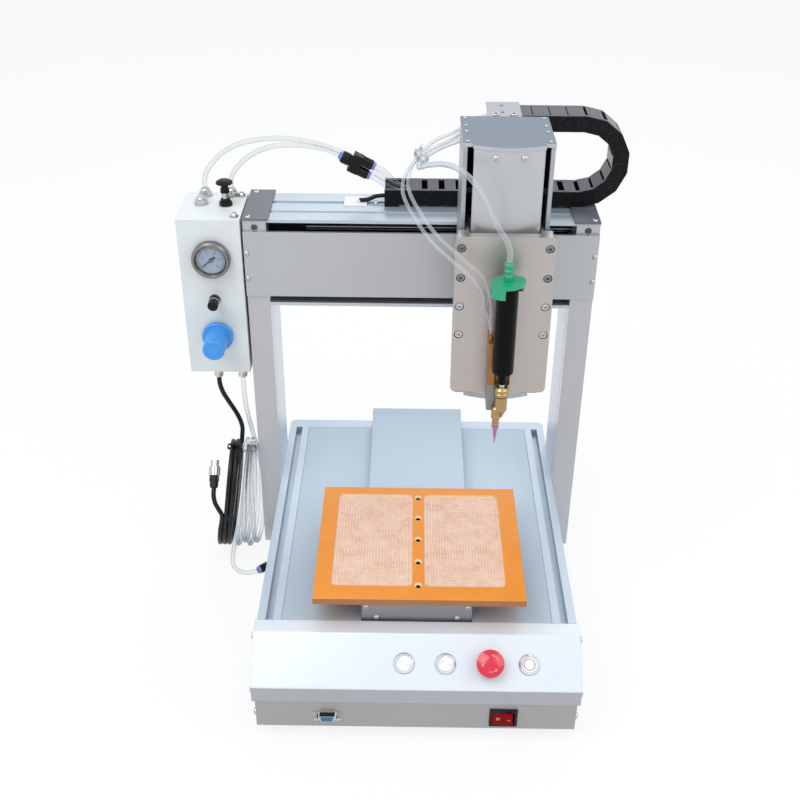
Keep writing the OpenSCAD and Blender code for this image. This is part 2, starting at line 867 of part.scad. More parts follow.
// Bed of the table axis: H-section that carries the rail, motor wall included
module y_bed() {
    color("silver") difference() {
        union() {
            along_y(end_y1, y_rear - rear_t) {
                for (s = [0, 1]) mirror([s, 0])
                    translate([bed_in, pan_top]) square([bed_out - bed_in, deck_z - deck_t - pan_top]);
                translate([-bed_in - cut, web_z0]) square([2 * (bed_in + cut), web_t]);
            }
            block([y_screw_x - motor_w / 2, motor_face_y - wall_t, web_z1 - cut],
                [bed_in + cut, motor_face_y, y_screw_z + motor_w / 2]);
        }
        block([y_screw_x - motor_w / 2 - motor_gap, motor_face_y, web_z0 - cut],
            [bed_in, y_rear, web_z1 + cut]);
        translate([y_screw_x, motor_face_y + cut, y_screw_z]) rotate([90, 0, 0])
            cylinder(d = motor_pilot + 2 * fit, h = wall_t + 2 * cut);
    }
}

// Guide rails of the table axis and the cross axis
module guide_rails() {
    color("gray") {
        along_y(end_y1 + 4, motor_face_y - wall_t - 3) translate([0, web_z1]) guide_section();
        along_x(x_motor_face + 4, half_w - 6) translate([wall_y, beam_mid]) rotate(90) guide_section();
    }
}

// Raised cover over the table axis, an inverted channel
module y_cover() {
    color("lightsteelblue") along_y(end_y1, hat_end_y) difference() {
        translate([-axis_w / 2, hat_z0]) square([axis_w, hat_h]);
        translate([-axis_w / 2 + hat_t, hat_z0 - cut]) square([axis_w - 2 * hat_t, hat_h - hat_t + cut]);
    }
}

// End plates of the table axis: the front one holds the screw's far bearing
module y_end_plates() {
    color("silver") {
        difference() {
            block([-plate_half, end_y0, web_z0], [plate_half, end_y1, hat_z1]);
            translate([y_screw_x, end_y1 + cut, y_screw_z]) rotate([90, 0, 0])
                cylinder(d = screw_dia + 2 * run, h = bearing + cut + 0.3);
        }
        block([-plate_half, hat_end_y, deck_z], [plate_half, hat_end_y + hat_end_t, hat_z1]);
    }
}

// Stepper motors of the table axis and the cross axis
module axis_motors() {
    color("dimgray") {
        translate([y_screw_x, motor_face_y, y_screw_z]) rotate([90, 0, 0]) stepper();
        translate([x_motor_face, x_screw_y, x_screw_z]) rotate([0, 90, 0]) stepper();
    }
}

// Drive screw of the table axis
module y_screw() {
    color("gray") translate([y_screw_x, motor_face_y, y_screw_z]) rotate([90, 0, 0])
        drive_screw(motor_face_y - end_y1 + bearing);
}

// Table saddle: runner, nut, arms under the cover's edges and the table plate
module y_carriage() {
    y0 = y_block - arm_len / 2;
    y1 = y_block + arm_len / 2;
    color("silver") difference() {
        union() {
            block([-table_w / 2, y0, arm_z0], [table_w / 2, y1, arm_z1]);
            along_y(y_block - block_len / 2, y_block + block_len / 2) translate([0, web_z1]) runner_section();
            block([y_screw_x - nut_w / 2, y_block - nut_l / 2, web_z1 + glide],
                [y_screw_x + nut_w / 2, y_block + nut_l / 2, arm_z0 + cut]);
            both_sides() block([riser_x0, y0, arm_z1 - cut], [table_w / 2, y1, table_z0 + cut]);
            block([-table_w / 2, fix_y - table_d / 2, table_z0],
                [table_w / 2, max(y1, fix_y + table_d / 2), table_z1]);
        }
        translate([y_screw_x, y_block + nut_l, y_screw_z]) rotate([90, 0, 0])
            cylinder(d = screw_dia + 2 * run, h = 2 * nut_l);
    }
}

// Fixture plate with two milled pockets and five countersunk holes
module fixture_plate() {
    color("darkorange") difference() {
        block([fix_x - fix_w / 2, fix_y - fix_d / 2, table_z1],
            [fix_x + fix_w / 2, fix_y + fix_d / 2, fix_z1]);
        for (s = [-1, 1]) translate([rib_x + s * (rib_w + pocket_w) / 2, pocket_y, fix_z1 - pocket_cut])
            linear_extrude(pocket_cut + cut) round_rect(pocket_w, pocket_d, pocket_r);
        for (i = [0:hole_n - 1])
            translate([rib_x, fix_y + 2 + (i - (hole_n - 1) / 2) * hole_pitch, table_z1 - cut]) {
                cylinder(d = hole_dia, h = fix_t + 2 * cut);
                translate([0, 0, fix_t + cut - sink_h]) cylinder(d1 = hole_dia, d2 = sink_dia, h = sink_h);
                translate([0, 0, fix_t + cut]) cylinder(d = sink_dia, h = cut);
            }
    }
}

// Uprights on the outside of the side rails
module uprights() {
    color("gainsboro") both_sides() difference() {
        translate([0, 0, up_lift]) linear_extrude(beam_top - up_lift) difference() {
            translate([half_w, up_y]) square([up_w, up_d]);
            translate([half_w - cut, up_y + groove_at]) square([groove_d + cut, groove_w]);
        }
        translate([half_w + up_w / 2, up_y - cut, cover_z1 + lug_hole / 2]) rotate([-90, 0, 0])
            cylinder(d = lug_hole, h = 12);
        translate([half_w - cut, x_screw_y, x_screw_z]) rotate([0, 90, 0])
            cylinder(d = screw_dia + 2 * run, h = bearing + cut + 0.3);
    }
}

// Beam between the uprights: a channel open to the front, slotted on top
module x_beam() {
    web = 4;
    color("gainsboro") along_x(-half_w, half_w) difference() {
        translate([up_y, beam_z0]) square([beam_d, beam_h]);
        translate([up_y - cut, cav_z0]) square([wall_y - up_y + cut, cav_z1 - cav_z0]);
        for (i = [0, 1]) translate([up_y + top_slot_y[i] - top_slot_w[i] / 2, beam_top - top_slot_d[i]])
            square([top_slot_w[i], top_slot_d[i] + cut]);
        for (z = [beam_z0 + 2 * web, beam_mid + web / 2])
            translate([wall_y + web, z]) square([beam_y1 - wall_y - 2 * web, beam_h / 2 - 2.5 * web]);
    }
}

// Front cover of the beam, which leaves a slot above and below it
module x_cover() {
    color("gainsboro") block([-up_x1, cover_y0, cover_z0], [up_x1, up_y, cover_z1]);
}

// Dark caps on the uprights
module beam_caps() {
    overlap = 3;
    color("slategray") both_sides()
        block([half_w - overlap, cover_y0, beam_top], [up_x1, up_y + up_d, beam_top + cap_t]);
}

// Drive screw of the cross axis
module x_screw() {
    color("gray") translate([x_motor_face, x_screw_y, x_screw_z]) rotate([0, 90, 0])
        drive_screw(half_w - x_motor_face + bearing);
}

// Saddle of the cross axis: runner, nut and two arms that reach round the cover
module x_carriage() {
    color("silver") difference() {
        union() {
            along_x(head_x - car_half, head_x + car_half) {
                translate([car_y0, cav_z0 + glide]) square([car_t, cav_z1 - cav_z0 - 2 * glide]);
                for (z = [cav_z0 + glide, cover_z1 + glide])
                    translate([z_back, z]) square([car_y0 - z_back + cut, cav_z1 - cover_z1 - 2 * glide]);
            }
            along_x(head_x - car_half + 3, head_x + car_half - 3)
                translate([wall_y, beam_mid]) rotate(90) runner_section();
            block([head_x - car_half + 3, car_y1 - cut, beam_mid - block_w / 2],
                [head_x + car_half - 3, wall_y - guide_h + cut, beam_mid + block_w / 2]);
            block([head_x - nut_l / 2, car_y1 - cut, x_screw_z - nut_w / 2],
                [head_x + nut_l / 2, x_screw_y + nut_w / 2, x_screw_z + nut_w / 2]);
        }
        translate([head_x - nut_l, x_screw_y, x_screw_z]) rotate([0, 90, 0])
            cylinder(d = screw_dia + 2 * run, h = 2 * nut_l);
    }
}

// Outline of the bowed cover, or of what lies behind it
module bow_outline(r, w) {
    intersection() {
        translate([0, bow_cy]) circle(r, $fn = 180);
        translate([-w / 2, bow_front - cut]) square([w, bow_edge - bow_front + cut]);
    }
}

// Body of the vertical axis: a channel with its own ways, foot and motor shelf
module z_body() {
    web = 5;
    color("gainsboro") translate([head_x, 0, 0]) difference() {
        union() {
            translate([0, 0, z_bottom]) linear_extrude(zcap_z0 - z_bottom) {
                difference() {
                    translate([-z_w / 2, z_front]) square([z_w, z_d]);
                    translate([-z_in, z_front - cut]) square([2 * z_in, z_wall - z_front + cut]);
                    for (x = [-z_in, web / 2]) translate([x, z_wall + web])
                        square([z_in - web / 2, z_back - z_wall - 2 * web]);
                }
                translate([0, z_wall + weld]) mirror([0, 1]) guide_section();
            }
            block([-z_w / 2, z_front, z_bottom], [z_w / 2, z_back, z_bottom + foot_plate]);
            translate([0, 0, z_bottom]) linear_extrude(foot_plate) {
                bow_outline(bow_r, bow_w);
                translate([-bow_w / 2, bow_edge - cut]) square([bow_w, z_front - bow_edge + 2 * cut]);
            }
            block([-z_in - cut, z_front + 2, shelf_z], [z_in + cut, z_wall + cut, shelf_z + shelf_t]);
        }
        translate([0, z_screw_y, z_bottom + foot_plate - bearing + 1.7])
            cylinder(d = screw_dia + 2 * run, h = bearing + cut);
        translate([0, z_screw_y, shelf_z - cut]) cylinder(d = motor_pilot + 2 * fit, h = shelf_t + 2 * cut);
    }
}

// Bowed front cover of the vertical axis
module z_cover() {
    color("gainsboro") translate([head_x, 0, z_bottom + foot_plate])
        linear_extrude(zcap_z0 - z_bottom - foot_plate) difference() {
            bow_outline(bow_r, bow_w);
            translate([0, bow_cy]) circle(bow_r - bow_t, $fn = 180);
        }
}

// Dark cap on the vertical axis, with the tab that the cover is screwed to
module z_cap() {
    over = 0.5;
    color("slategray") translate([head_x, 0, zcap_z0]) {
        linear_extrude(zcap_t) {
            translate([-z_w / 2 - over, z_front - over]) square([z_w + 2 * over, z_d + over]);
            bow_outline(bow_r + over, bow_w + 2 * over);
            translate([-bow_w / 2 - over, bow_edge - over])
                square([bow_w + 2 * over, z_front - bow_edge + cut]);
        }
        translate([0, 0, -tab_h]) linear_extrude(tab_h + cut / 2) {
            bow_outline(bow_r - bow_t, tab_w);
            translate([-tab_w / 2, bow_edge - 0.1]) square([tab_w, z_front - bow_edge - 2]);
        }
    }
}

// Stepper motor of the vertical axis on its shelf
module z_motor() {
    color("dimgray") translate([head_x, z_screw_y, shelf_z + shelf_t]) rotate([180, 0, 0]) stepper();
}

// Drive screw of the vertical axis
module z_screw() {
    color("gray") translate([head_x, z_screw_y, shelf_z + shelf_t]) rotate([180, 0, 0])
        drive_screw(shelf_z + shelf_t - z_bottom - foot_plate + bearing - 2);
}

// Slide of the vertical axis: runner, nut and two arms that pass the cover
module z_slider() {
    z0 = slide_z - slide_h / 2;
    z1 = slide_z + slide_h / 2;
    color("silver") translate([head_x, 0, 0]) difference() {
        union() {
            block([-zarm_x1, slide_y0, z0], [zarm_x1, slide_y1, z1]);
            translate([0, z_wall, z0]) linear_extrude(slide_h) mirror([0, 1]) runner_section();
            block([-nut_w / 2, z_screw_y - nut_w / 2, slide_z - nut_l / 2],
                [nut_w / 2, slide_y0 + cut, slide_z + nut_l / 2]);
            both_sides() {
                block([zarm_x1 - zarm_t, plate_y1, z0], [zarm_x1, slide_y0 + cut, z1]);
                block([zarm_x1 - zarm_t, plate_y1, z0], [lug_x1, plate_y1 + lug_d, z1]);
            }
        }
        translate([0, z_screw_y, slide_z - nut_l]) cylinder(d = screw_dia + 2 * run, h = 2 * nut_l);
    }
}

// Tool plate with two columns of counterbored holes
module z_plate() {
    color("silver") translate([head_x, 0, 0]) difference() {
        along_y(plate_y0, plate_y1) translate([0, plate_top - plate_h / 2])
            round_rect(plate_w, plate_h, plate_r);
        for (s = [-1, 1], z = bolt_z) translate([s * bolt_x, plate_y0 - cut, plate_top + z])
            rotate([-90, 0, 0]) {
                cylinder(d = bore_dia, h = bore_h + cut);
                cylinder(d = bolt_dia, h = plate_t + 2 * cut);
            }
    }
}

// Gold holder of the syringe: a block with a cradle and two air ports
module syringe_holder() {
    port_r = 3;
    port_l = 6;
    color("goldenrod") translate([head_x, 0, 0]) difference() {
        union() {
            block([-hold_left, hold_y0, hold_z0], [hold_right, plate_y0, hold_z1]);
            for (y = port_back) translate([port_in - hold_left, plate_y0 - y, hold_z1 - cut])
                cylinder(r = port_r, h = port_l + cut);
        }
        translate([syr_off, syr_y, syr_z - cone_len]) cylinder(r = syr_r + run, h = syr_len);
        translate([syr_off, syr_y, hold_z0 - cut]) cylinder(r = syr_r - 2, h = syr_len);
    }
}

// Grey block under the holder that steadies the valve
module holder_foot() {
    color("gray") translate([head_x, 0, 0]) difference() {
        block([-foot_left, hold_y0, foot_z0], [foot_right, plate_y0, hold_z0]);
        translate([syr_off, syr_y, foot_z0 - cut])
            cylinder(d = valve_dia + 2 * run, h = hold_z0 - foot_z0 + 2 * cut);
    }
}

// Syringe barrel with its finger flange, shoulder and neck
module syringe_barrel() {
    lip = 3;
    color("black") translate([head_x + syr_off, syr_y, 0]) {
        translate([0, 0, neck_z]) rotate_extrude()
            polygon([[0, 0], [neck_dia / 2, 0], [neck_dia / 2, neck_len], [syr_r, neck_len + cone_len],
                [syr_r, neck_len + cone_len + syr_len], [0, neck_len + cone_len + syr_len]]);
        translate([0, 0, flange_z - lip]) linear_extrude(lip) rotate(ear_turn) {
            intersection() {
                circle(syr_r + flange_over);
                square([2 * (syr_r + flange_over), syr_dia + 1], center = true);
            }
        }
    }
}

// Outline of the adapter cap: an oval with blunt tips
module ear_outline() {
    r = (pow(ear_len / 2, 2) + pow(ear_deep / 2, 2)) / ear_deep;
    intersection() {
        translate([0, r - ear_deep / 2]) circle(r, $fn = 96);
        translate([0, ear_deep / 2 - r]) circle(r, $fn = 96);
        circle(ear_len / 2 - 1, $fn = 96);
    }
}

// Green adapter cap: oval top, skirts that grip the barrel's flange, barbed stem
module syringe_cap() {
    color("mediumseagreen") translate([head_x + syr_off, syr_y, flange_z]) {
        rotate(ear_turn) linear_extrude(ear_h) ear_outline();
        for (s = [0, 180]) rotate(ear_turn + s) translate([0, 0, -ear_skirt]) linear_extrude(ear_skirt + cut)
            difference() {
                ear_outline();
                translate([-ear_len, -ear_len]) square([ear_len, 2 * ear_len]);
                translate([-cut, -ear_len]) square([ear_len, ear_len]);
                circle(syr_r + flange_over + fit);
            }
        translate([0, 0, ear_h]) rotate_extrude()
            polygon([[0, 0], [5, 0], [5, 7], [4.2, 8], [4.2, 10], [5.1, 11], [5.1, 13], [4.2, 14],
                [4.2, 15.5], [5, 16.5], [5, stem_len - 1], [4, stem_len], [0, stem_len]]);
    }
}

// Brass valve body under the barrel: lock nut, body with a tapered end, and the outlet's
// boss and nut beside the axis, with the steel neck above
module valve_body() {
    r = valve_dia / 2;
    body = r - 1.2;
    body_foot = 12;
    shoulder = 21;
    lock = valve_len - 11;
    nut = 3.9;
    boss = 5.2;
    boss_top = 23;
    color("goldenrod") translate([head_x + syr_off, syr_y, valve_z0]) {
        translate([0, 0, valve_len - cut]) cylinder(d = 6.5, h = valve_neck + cut);
        rotate_extrude()
            polygon([[0, body_foot], [body - 4, body_foot], [body - 0.6, shoulder - 0.6], [body, shoulder],
                [body, lock - 1], [body - 0.8, lock - 0.8], [body - 0.8, lock], [r - 0.8, lock],
                [r, lock + 1], [r, lock + 4.2], [r - 0.7, lock + 4.9], [r, lock + 5.6], [r, valve_len - 2],
                [r - 2, valve_len], [0, valve_len]]);
        translate([-outlet_off, 0, 0]) rotate_extrude()
            polygon([[0, 0], [nut - 0.6, 0], [nut, 0.8], [nut, 4], [nut - 0.9, 4.6], [nut - 0.9, 6],
                [nut, 6.6], [nut, 8.4], [boss - 0.8, 9.4], [boss, 10.4], [boss, boss_top],
                [boss - 1.5, boss_top + 2], [0, boss_top + 3]]);
    }
}

// Tapered dispensing tip
module needle() {
    collar = 3;
    color("hotpink") translate([head_x + syr_off - outlet_off, syr_y, valve_z0 - tip_len]) rotate_extrude()
        polygon([[0, 0], [tip_r0, 0], [tip_r1 - 1, tip_len - collar], [tip_r1, tip_len - collar],
            [tip_r1, tip_len], [0, tip_len]]);
}

// Folded sheet box of the air panel on the left upright
module air_box() {
    color("whitesmoke") difference() {
        union() {
            block([box_x0, box_y0, box_z0], [box_x1, box_y0 + box_d, box_z1]);
            for (z = [box_z0 + pad_set, box_z1 - pad_set]) translate([box_x1 - cut, up_y + pad_set, z])
                rotate([0, 90, 0]) cylinder(d = pad_dia, h = box_gap + cut);
        }
        block([box_x0 + box_t, box_y0 + box_t, box_z0 + box_t],
            [box_x1 - box_t, box_y0 + box_d - box_t, box_z1 - box_t]);
        on_box(gauge_z) translate([0, 0, -4 * box_t]) cylinder(d = 10 + 2 * fit, h = 6 * box_t);
        for (z = [suck_z, reg_z]) on_box(z) translate([0, 0, -4 * box_t])
            cylinder(d = stem_dia + 2 * fit, h = 6 * box_t);
        for (at = [supply_at, feed_at, branch_at, hand_at]) box_spot(at, box_z1 - 2 * box_t)
            cylinder(d = stem_dia + 2 + 2 * fit, h = 4 * box_t);
        for (at = [gland_at, exit_at]) box_spot(at, box_z0 - box_t)
            cylinder(d = stem_dia + 2 + 2 * fit, h = 4 * box_t);
    }
}

// Pressure gauge: bezel, sunk dial, pointer pin and threaded stem
module gauge_case() {
    r = gauge_dia / 2;
    face = gauge_d - 4.5;
    color("gray") on_box(gauge_z) rotate_extrude()
        polygon([[0, -12], [5, -12], [5, 0], [r - 1, 0], [r, 1.5], [r, gauge_d - 2], [r - 1.5, gauge_d],
            [r - 3.5, gauge_d], [r - 4.5, gauge_d - 1.5], [r - 4.5, face], [1, face], [1, face + 2.4],
            [0, face + 2.4]]);
}

// Pointer of the gauge on its pin, at rest near zero
module gauge_pointer() {
    face = gauge_d - 4.5;
    blade = gauge_dia / 2 - 8;
    rest_a = 220;
    color("black") on_box(gauge_z) translate([0, 0, face + 0.3]) rotate(rest_a) difference() {
        union() {
            cylinder(r = 2.4, h = 1.5);
            translate([0, 0, 0.4]) linear_extrude(0.7)
                polygon([[-6.5, 1.6], [-6.5, -1.6], [0, -0.8], [blade, -0.3], [blade, 0.3], [0, 0.8]]);
        }
        translate([0, 0, -cut]) cylinder(r = 1 + run, h = 4);
    }
}

// A bulkhead fitting: washer, hexagon, collar and the thread through the sheet
module bulkhead(height) {
    hex_top = washer_t + fitting_hex;
    collar = fitting_dia / 2 - 2;
    rest = height - hex_top;
    translate([0, 0, -fitting_root]) cylinder(d = stem_dia + 2, h = fitting_root + cut);
    cylinder(d = washer_dia, h = washer_t);
    translate([0, 0, washer_t - cut / 2]) cylinder(d = fitting_dia, h = fitting_hex + cut / 2, $fn = 6);
    translate([0, 0, hex_top - cut / 2]) rotate_extrude()
        polygon([[0, 0], [collar, 0], [collar, rest - 1], [collar - 1, rest], [0, rest]]);
}

// Fittings of the air panel: bulkheads, valve seats, gland and hose exit
module box_fittings() {
    color("silver") {
        for (at = [feed_at, branch_at]) box_spot(at, box_z1) bulkhead(fitting_tall);
        box_spot(supply_at, box_z1) bulkhead(supply_tall);
        box_spot(hand_at, box_z1) difference() {
            bulkhead(hand_tall);
            translate([0, 0, -fitting_root - cut])
                cylinder(d = stem_dia + 2 * run, h = fitting_root + hand_tall + 2 * cut);
        }
        for (at = [gland_at, exit_at]) box_spot(at, box_z0) rotate([180, 0, 0]) bulkhead(gland_len);
        on_box(suck_z) {
            translate([0, 0, -fitting_root]) cylinder(d = stem_dia, h = fitting_root + cut);
            cylinder(d = suck_dia - 1, h = boss_h);
            cylinder(d = stem_dia, h = boss_h + suck_post);
        }
        on_box(reg_z) {
            translate([0, 0, -fitting_root]) cylinder(d = stem_dia, h = fitting_root + cut);
            cylinder(d = reg_dia - 9, h = boss_h);
            cylinder(d = reg_post, h = boss_h + reg_stub);
        }
    }
}

// Suck-back knob: knurled barrel with a ring, on its threaded post
module suckback_knob() {
    len = 18;
    ring_at = 9;
    r = suck_dia / 2;
    color("black") on_box(suck_z) translate([0, 0, boss_h + knob_lift]) difference() {
        rotate_extrude() polygon([[0, 0], [r, 0], [r, ring_at], [r + 0.5, ring_at], [r + 0.5, ring_at + 2],
            [r - 0.8, ring_at + 2], [r - 0.8, len - 1], [r - 1.8, len], [0, len]]);
        translate([0, 0, -cut]) cylinder(d = stem_dia + 2 * run, h = suck_post + cut + knob_lift);
    }
}

// Regulator knob: broad skirt, smooth tapered grip and a ring sunk in its end
module regulator_knob() {
    r = reg_dia / 2;
    skirt = 6;
    grip = r - 4.3;
    nose = r - 5.6;
    color("dodgerblue") on_box(reg_z) translate([0, 0, boss_h + knob_lift]) difference() {
        rotate_extrude() polygon([[0, 0], [r, 0], [r, skirt - 1], [r - 1, skirt], [grip + 0.6, skirt],
            [grip, skirt + 0.8], [nose, reg_len - 1], [nose - 1, reg_len], [nose - 4, reg_len],
            [nose - 4.4, reg_len - 0.4], [nose - 5, reg_len - 0.4], [nose - 5.4, reg_len], [0, reg_len]]);
        translate([0, 0, -cut]) cylinder(d = reg_post + 2 * run, h = 20 + cut + knob_lift);
    }
}

// Mushroom knob and stem of the push-pull hand valve
module hand_valve() {
    seat = 10;
    color("black") box_spot(hand_at, box_z1) {
        translate([0, 0, -14]) cylinder(d = stem_dia, h = 14 + seat + cut);
        translate([0, 0, seat + valve_stroke + 0.5]) rotate_extrude()
            polygon([[0, 0], [5.5, 0], [5, 5], [4, 7], [4, 9], [10, 11], [9.5, 13], [6, 15], [0, 15.6]]);
        translate([0, 0, seat]) cylinder(d = stem_dia, h = valve_stroke + 1);
    }
}

// Side of a link between its pivots, cut back for the half turn
module link_side() {
    back = link_r * tan(bend_step / 2 + 1);
    polygon([[0, -link_r], [0, 0], [back, link_r], [link_p - back, link_r], [link_p, 0], [link_p, -link_r]]);
}

// One chain link from its pivot at X = 0 to the next, outside of the turn down
module link() {
    w = chain_w / 2;
    inner = w - 2 * ear_t - ear_gap;
    hole = link_pin + ear_gap;
    for (s = [0, 1]) mirror([0, s, 0]) {
        along_y(inner, w) difference() {
            link_side();
            circle(link_r + turn_gap);
            translate([link_p, 0]) circle(link_r + turn_gap);
        }
        along_y(inner, w - ear_t - ear_gap) difference() {
            union() {
                link_side();
                circle(link_r);
            }
            translate([link_p, 0]) circle(link_r + turn_gap);
        }
        along_y(w - ear_t, w) difference() {
            union() {
                link_side();
                translate([link_p, 0]) circle(link_r);
            }
            circle(link_r + turn_gap);
            translate([link_p, 0]) circle(hole);
        }
        along_y(inner, w) circle(link_pin);
    }
    block([0.6, -inner + turn_gap, -link_r], [link_p - 0.6, inner - turn_gap, lid_t - link_r]);
    block([2, -inner - cut, -link_r + 0.3], [link_p / 2 - 1, inner + cut, lid_t - link_r]);
    block([lid_set, -inner + turn_gap, link_r - lid_t], [link_p - lid_set, inner - turn_gap, link_r]);
    block([lid_set, -inner - cut, link_r - lid_t], [link_p / 2 - 1, inner + cut, link_r - 0.3]);
}

// Fixed end of the chain: a trough whose ears hold the first link
module fixed_end() {
    w = chain_w / 2;
    inner = w - 2 * ear_t - ear_gap;
    for (s = [0, 1]) mirror([0, s, 0]) {
        along_y(inner, w) difference() {
            translate([-end_len, -link_r]) square([end_len, link_h]);
            circle(link_r + turn_gap);
            translate([-2 * turn_gap, -link_h]) square([link_h, 2 * link_h]);
        }
        along_y(w - ear_t, w) difference() {
            union() {
                translate([-end_len, -link_r]) square([end_len, link_h]);
                circle(link_r);
            }
            circle(link_pin + ear_gap);
        }
    }
    block([-end_len, -w, -chain_z + beam_top], [-link_r - 1, w, lid_t - link_r]);
}

// Moving end of the chain: pins for the last link and the pad for the bracket
module moving_end() {
    w = chain_w / 2;
    inner = w - 2 * ear_t - ear_gap;
    for (s = [0, 1]) mirror([0, s, 0]) {
        along_y(inner, w) difference() {
            translate([0, -link_r]) square([end_len, link_h]);
            circle(link_r + turn_gap);
        }
        along_y(inner, w - ear_t - ear_gap) {
            translate([0, -link_r]) square([end_len, link_h]);
            circle(link_r);
        }
        along_y(inner, w) circle(link_pin);
    }
    block([link_r + 1, -w, -link_r - 0.3], [end_len, w, lid_t - link_r]);
}

// A place on the chain: X and height of a pivot, and the way to the next one
module on_chain(x, z, way) {
    translate([x, chain_y, z]) rotate([0, -way, 0]) children();
}

// Links that lie on the beam, with the chain's fixed end
module chain_fixed() {
    color("black") {
        for (i = [1:lower_n]) on_chain(bend_x - i * link_p, chain_z, 0) link();
        on_chain(bend_x - lower_n * link_p, chain_z, 0) fixed_end();
    }
}

// Links in the half turn
module chain_bend() {
    color("black") for (i = [0:bend_n - 1])
        on_chain(bend_x + bend_r * sin(i * bend_step), chain_z + bend_r * (1 - cos(i * bend_step)),
            (i + 0.5) * bend_step) link();
}

// Links between the half turn and the head, with the chain's moving end
module chain_moving() {
    color("black") {
        for (i = [0:upper_n - 1]) on_chain(bend_x - i * link_p, chain_z + 2 * bend_r, 180) link();
        on_chain(bend_x - upper_n * link_p, chain_z + 2 * bend_r, 180) moving_end();
    }
}

// Angle bracket behind the head that holds the chain's moving end
module chain_bracket() {
    x0 = bracket_x1 - bracket_w;
    color("darkgray") {
        block([x0, z_back, bracket_z], [bracket_x1, chain_y + chain_w / 2 + 2, bracket_z + bracket_t]);
        block([x0, z_back, bracket_z - bracket_drop], [bracket_x1, z_back + bracket_t, bracket_z + cut]);
    }
}

// Y connector that splits the feed hose
module hose_connector() {
    tilt = 27;
    color("black") translate([split_at[0], split_at[1], beam_top + split_at[2]]) rotate([0, tilt, 0]) {
        translate([-inlet_len - split_back + 2 * cut, 0, 0]) rotate([0, 90, 0])
            cylinder(r = split_r, h = inlet_len);
        block([-split_back, -split_r, -split_half], [split_front, split_r, split_half]);
        for (s = [-1, 1]) translate([split_front - cut, 0, s * branch_set]) rotate([0, 90, 0])
            cylinder(r = branch_r, h = branch_len);
    }
}

// Hoses and cable from the air panel and the beam into the chain
module feed_hoses() {
    color("white") {
        hose(route_a, hose_r, level);
        hose(route_b, hose_r, level);
        hose(route_c, hose_r, level);
        hose(route_d, hose_r, level);
        hose(route_e, thin_r + 0.5, level);
    }
}

// Hoses from the chain's moving end to the syringe and its holder
module head_hoses() {
    color("white") {
        hose(route_s, hose_r, aslant);
        hose(route_t, thin_r, aslant);
        hose(route_u, thin_r, aslant);
    }
}

// A hank that stands on its round end, between one pair of X below and another above
module hank(low, high) {
    z0 = hank_mid[1] - hank_tall / 2;
    z1 = hank_mid[1] + hank_tall / 2;
    intersection() {
        along_x(low[0], high[1]) translate(hank_mid) difference() {
            stadium(hank_r);
            stadium(hank_r - hank_thick);
        }
        along_y(hank_mid[0] - 2 * hank_r, hank_mid[0] + 2 * hank_r)
            polygon([[low[0], z0], [low[1], z0], [high[1], z1], [high[0], z1]]);
    }
}

// Upright outline with round ends
module stadium(r) {
    rise = hank_tall / 2 - hank_r;
    square([2 * r, 2 * rise], center = true);
    for (s = [-1, 1]) translate([0, s * rise]) circle(r);
}

// Power lead from the gland to its hank, and from the hank to its connector
module power_lead() {
    color("black") {
        hose(route_p, lead_r, level);
        hose(route_q, lead_r, level);
    }
}

// Hank of the power lead
module power_coil() {
    color("black") hank(power_low, power_high);
}

// Round metal connector at the end of the power lead: clamp, shell and coupling ring
module power_plug() {
    color("silver") translate(route_q[len(route_q) - 1]) rotate([-plug_tilt, 0, 0]) rotate_extrude()
        polygon([[0, 0], [lead_r + 1.5, 0], [plug_r - 2, 3], [plug_r - 2, 8], [plug_r - 1, 9],
            [plug_r - 1, 16], [plug_r, 16.5], [plug_r, 27], [plug_r - 1, 28], [plug_r - 2, 28],
            [plug_r - 2, plug_len], [0, plug_len]]);
}

// Air hose from the panel to its hank, and its tail on the standing surface
module air_hose() {
    color("white") {
        hose(route_h, hose_r, level);
        hose(route_k, hose_r, [0, 0, 1]);
    }
}

// Hank of the air hose
module air_coil() {
    color("white") hank(air_low, air_high);
}

// Push-in fitting at the end of the air hose
module air_fitting() {
    yaw = 38;
    color("black") translate(route_k[len(route_k) - 1]) rotate([0, 90, yaw]) {
        cylinder(r = collar_r, h = collar_len);
        translate([0, 0, collar_len - cut / 2]) cylinder(r = nut_r, h = nut_len, $fn = 6);
    }
}

base_pan();
base_frame();
deck_plates();
console();
feet();
dsub_socket();
rocker_bezel();
rocker();
panel_bezels();
button_dispense();
button_reset();
button_start();
estop_head();
y_bed();
guide_rails();
y_cover();
y_end_plates();
axis_motors();
y_screw();
y_carriage();
fixture_plate();
uprights();
x_beam();
x_cover();
beam_caps();
x_screw();
x_carriage();
z_body();
z_cover();
z_cap();
z_motor();
z_screw();
z_slider();
z_plate();
syringe_holder();
holder_foot();
syringe_barrel();
syringe_cap();
valve_body();
needle();
air_box();
gauge_case();
gauge_pointer();
box_fittings();
suckback_knob();
regulator_knob();
hand_valve();
chain_fixed();
chain_bend();
chain_moving();
chain_bracket();
hose_connector();
feed_hoses();
head_hoses();
power_lead();
power_coil();
power_plug();
air_hose();
air_coil();
air_fitting();
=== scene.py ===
import math
import bmesh
import bpy
from mathutils import Matrix, Vector
from mathutils.bvhtree import BVHTree


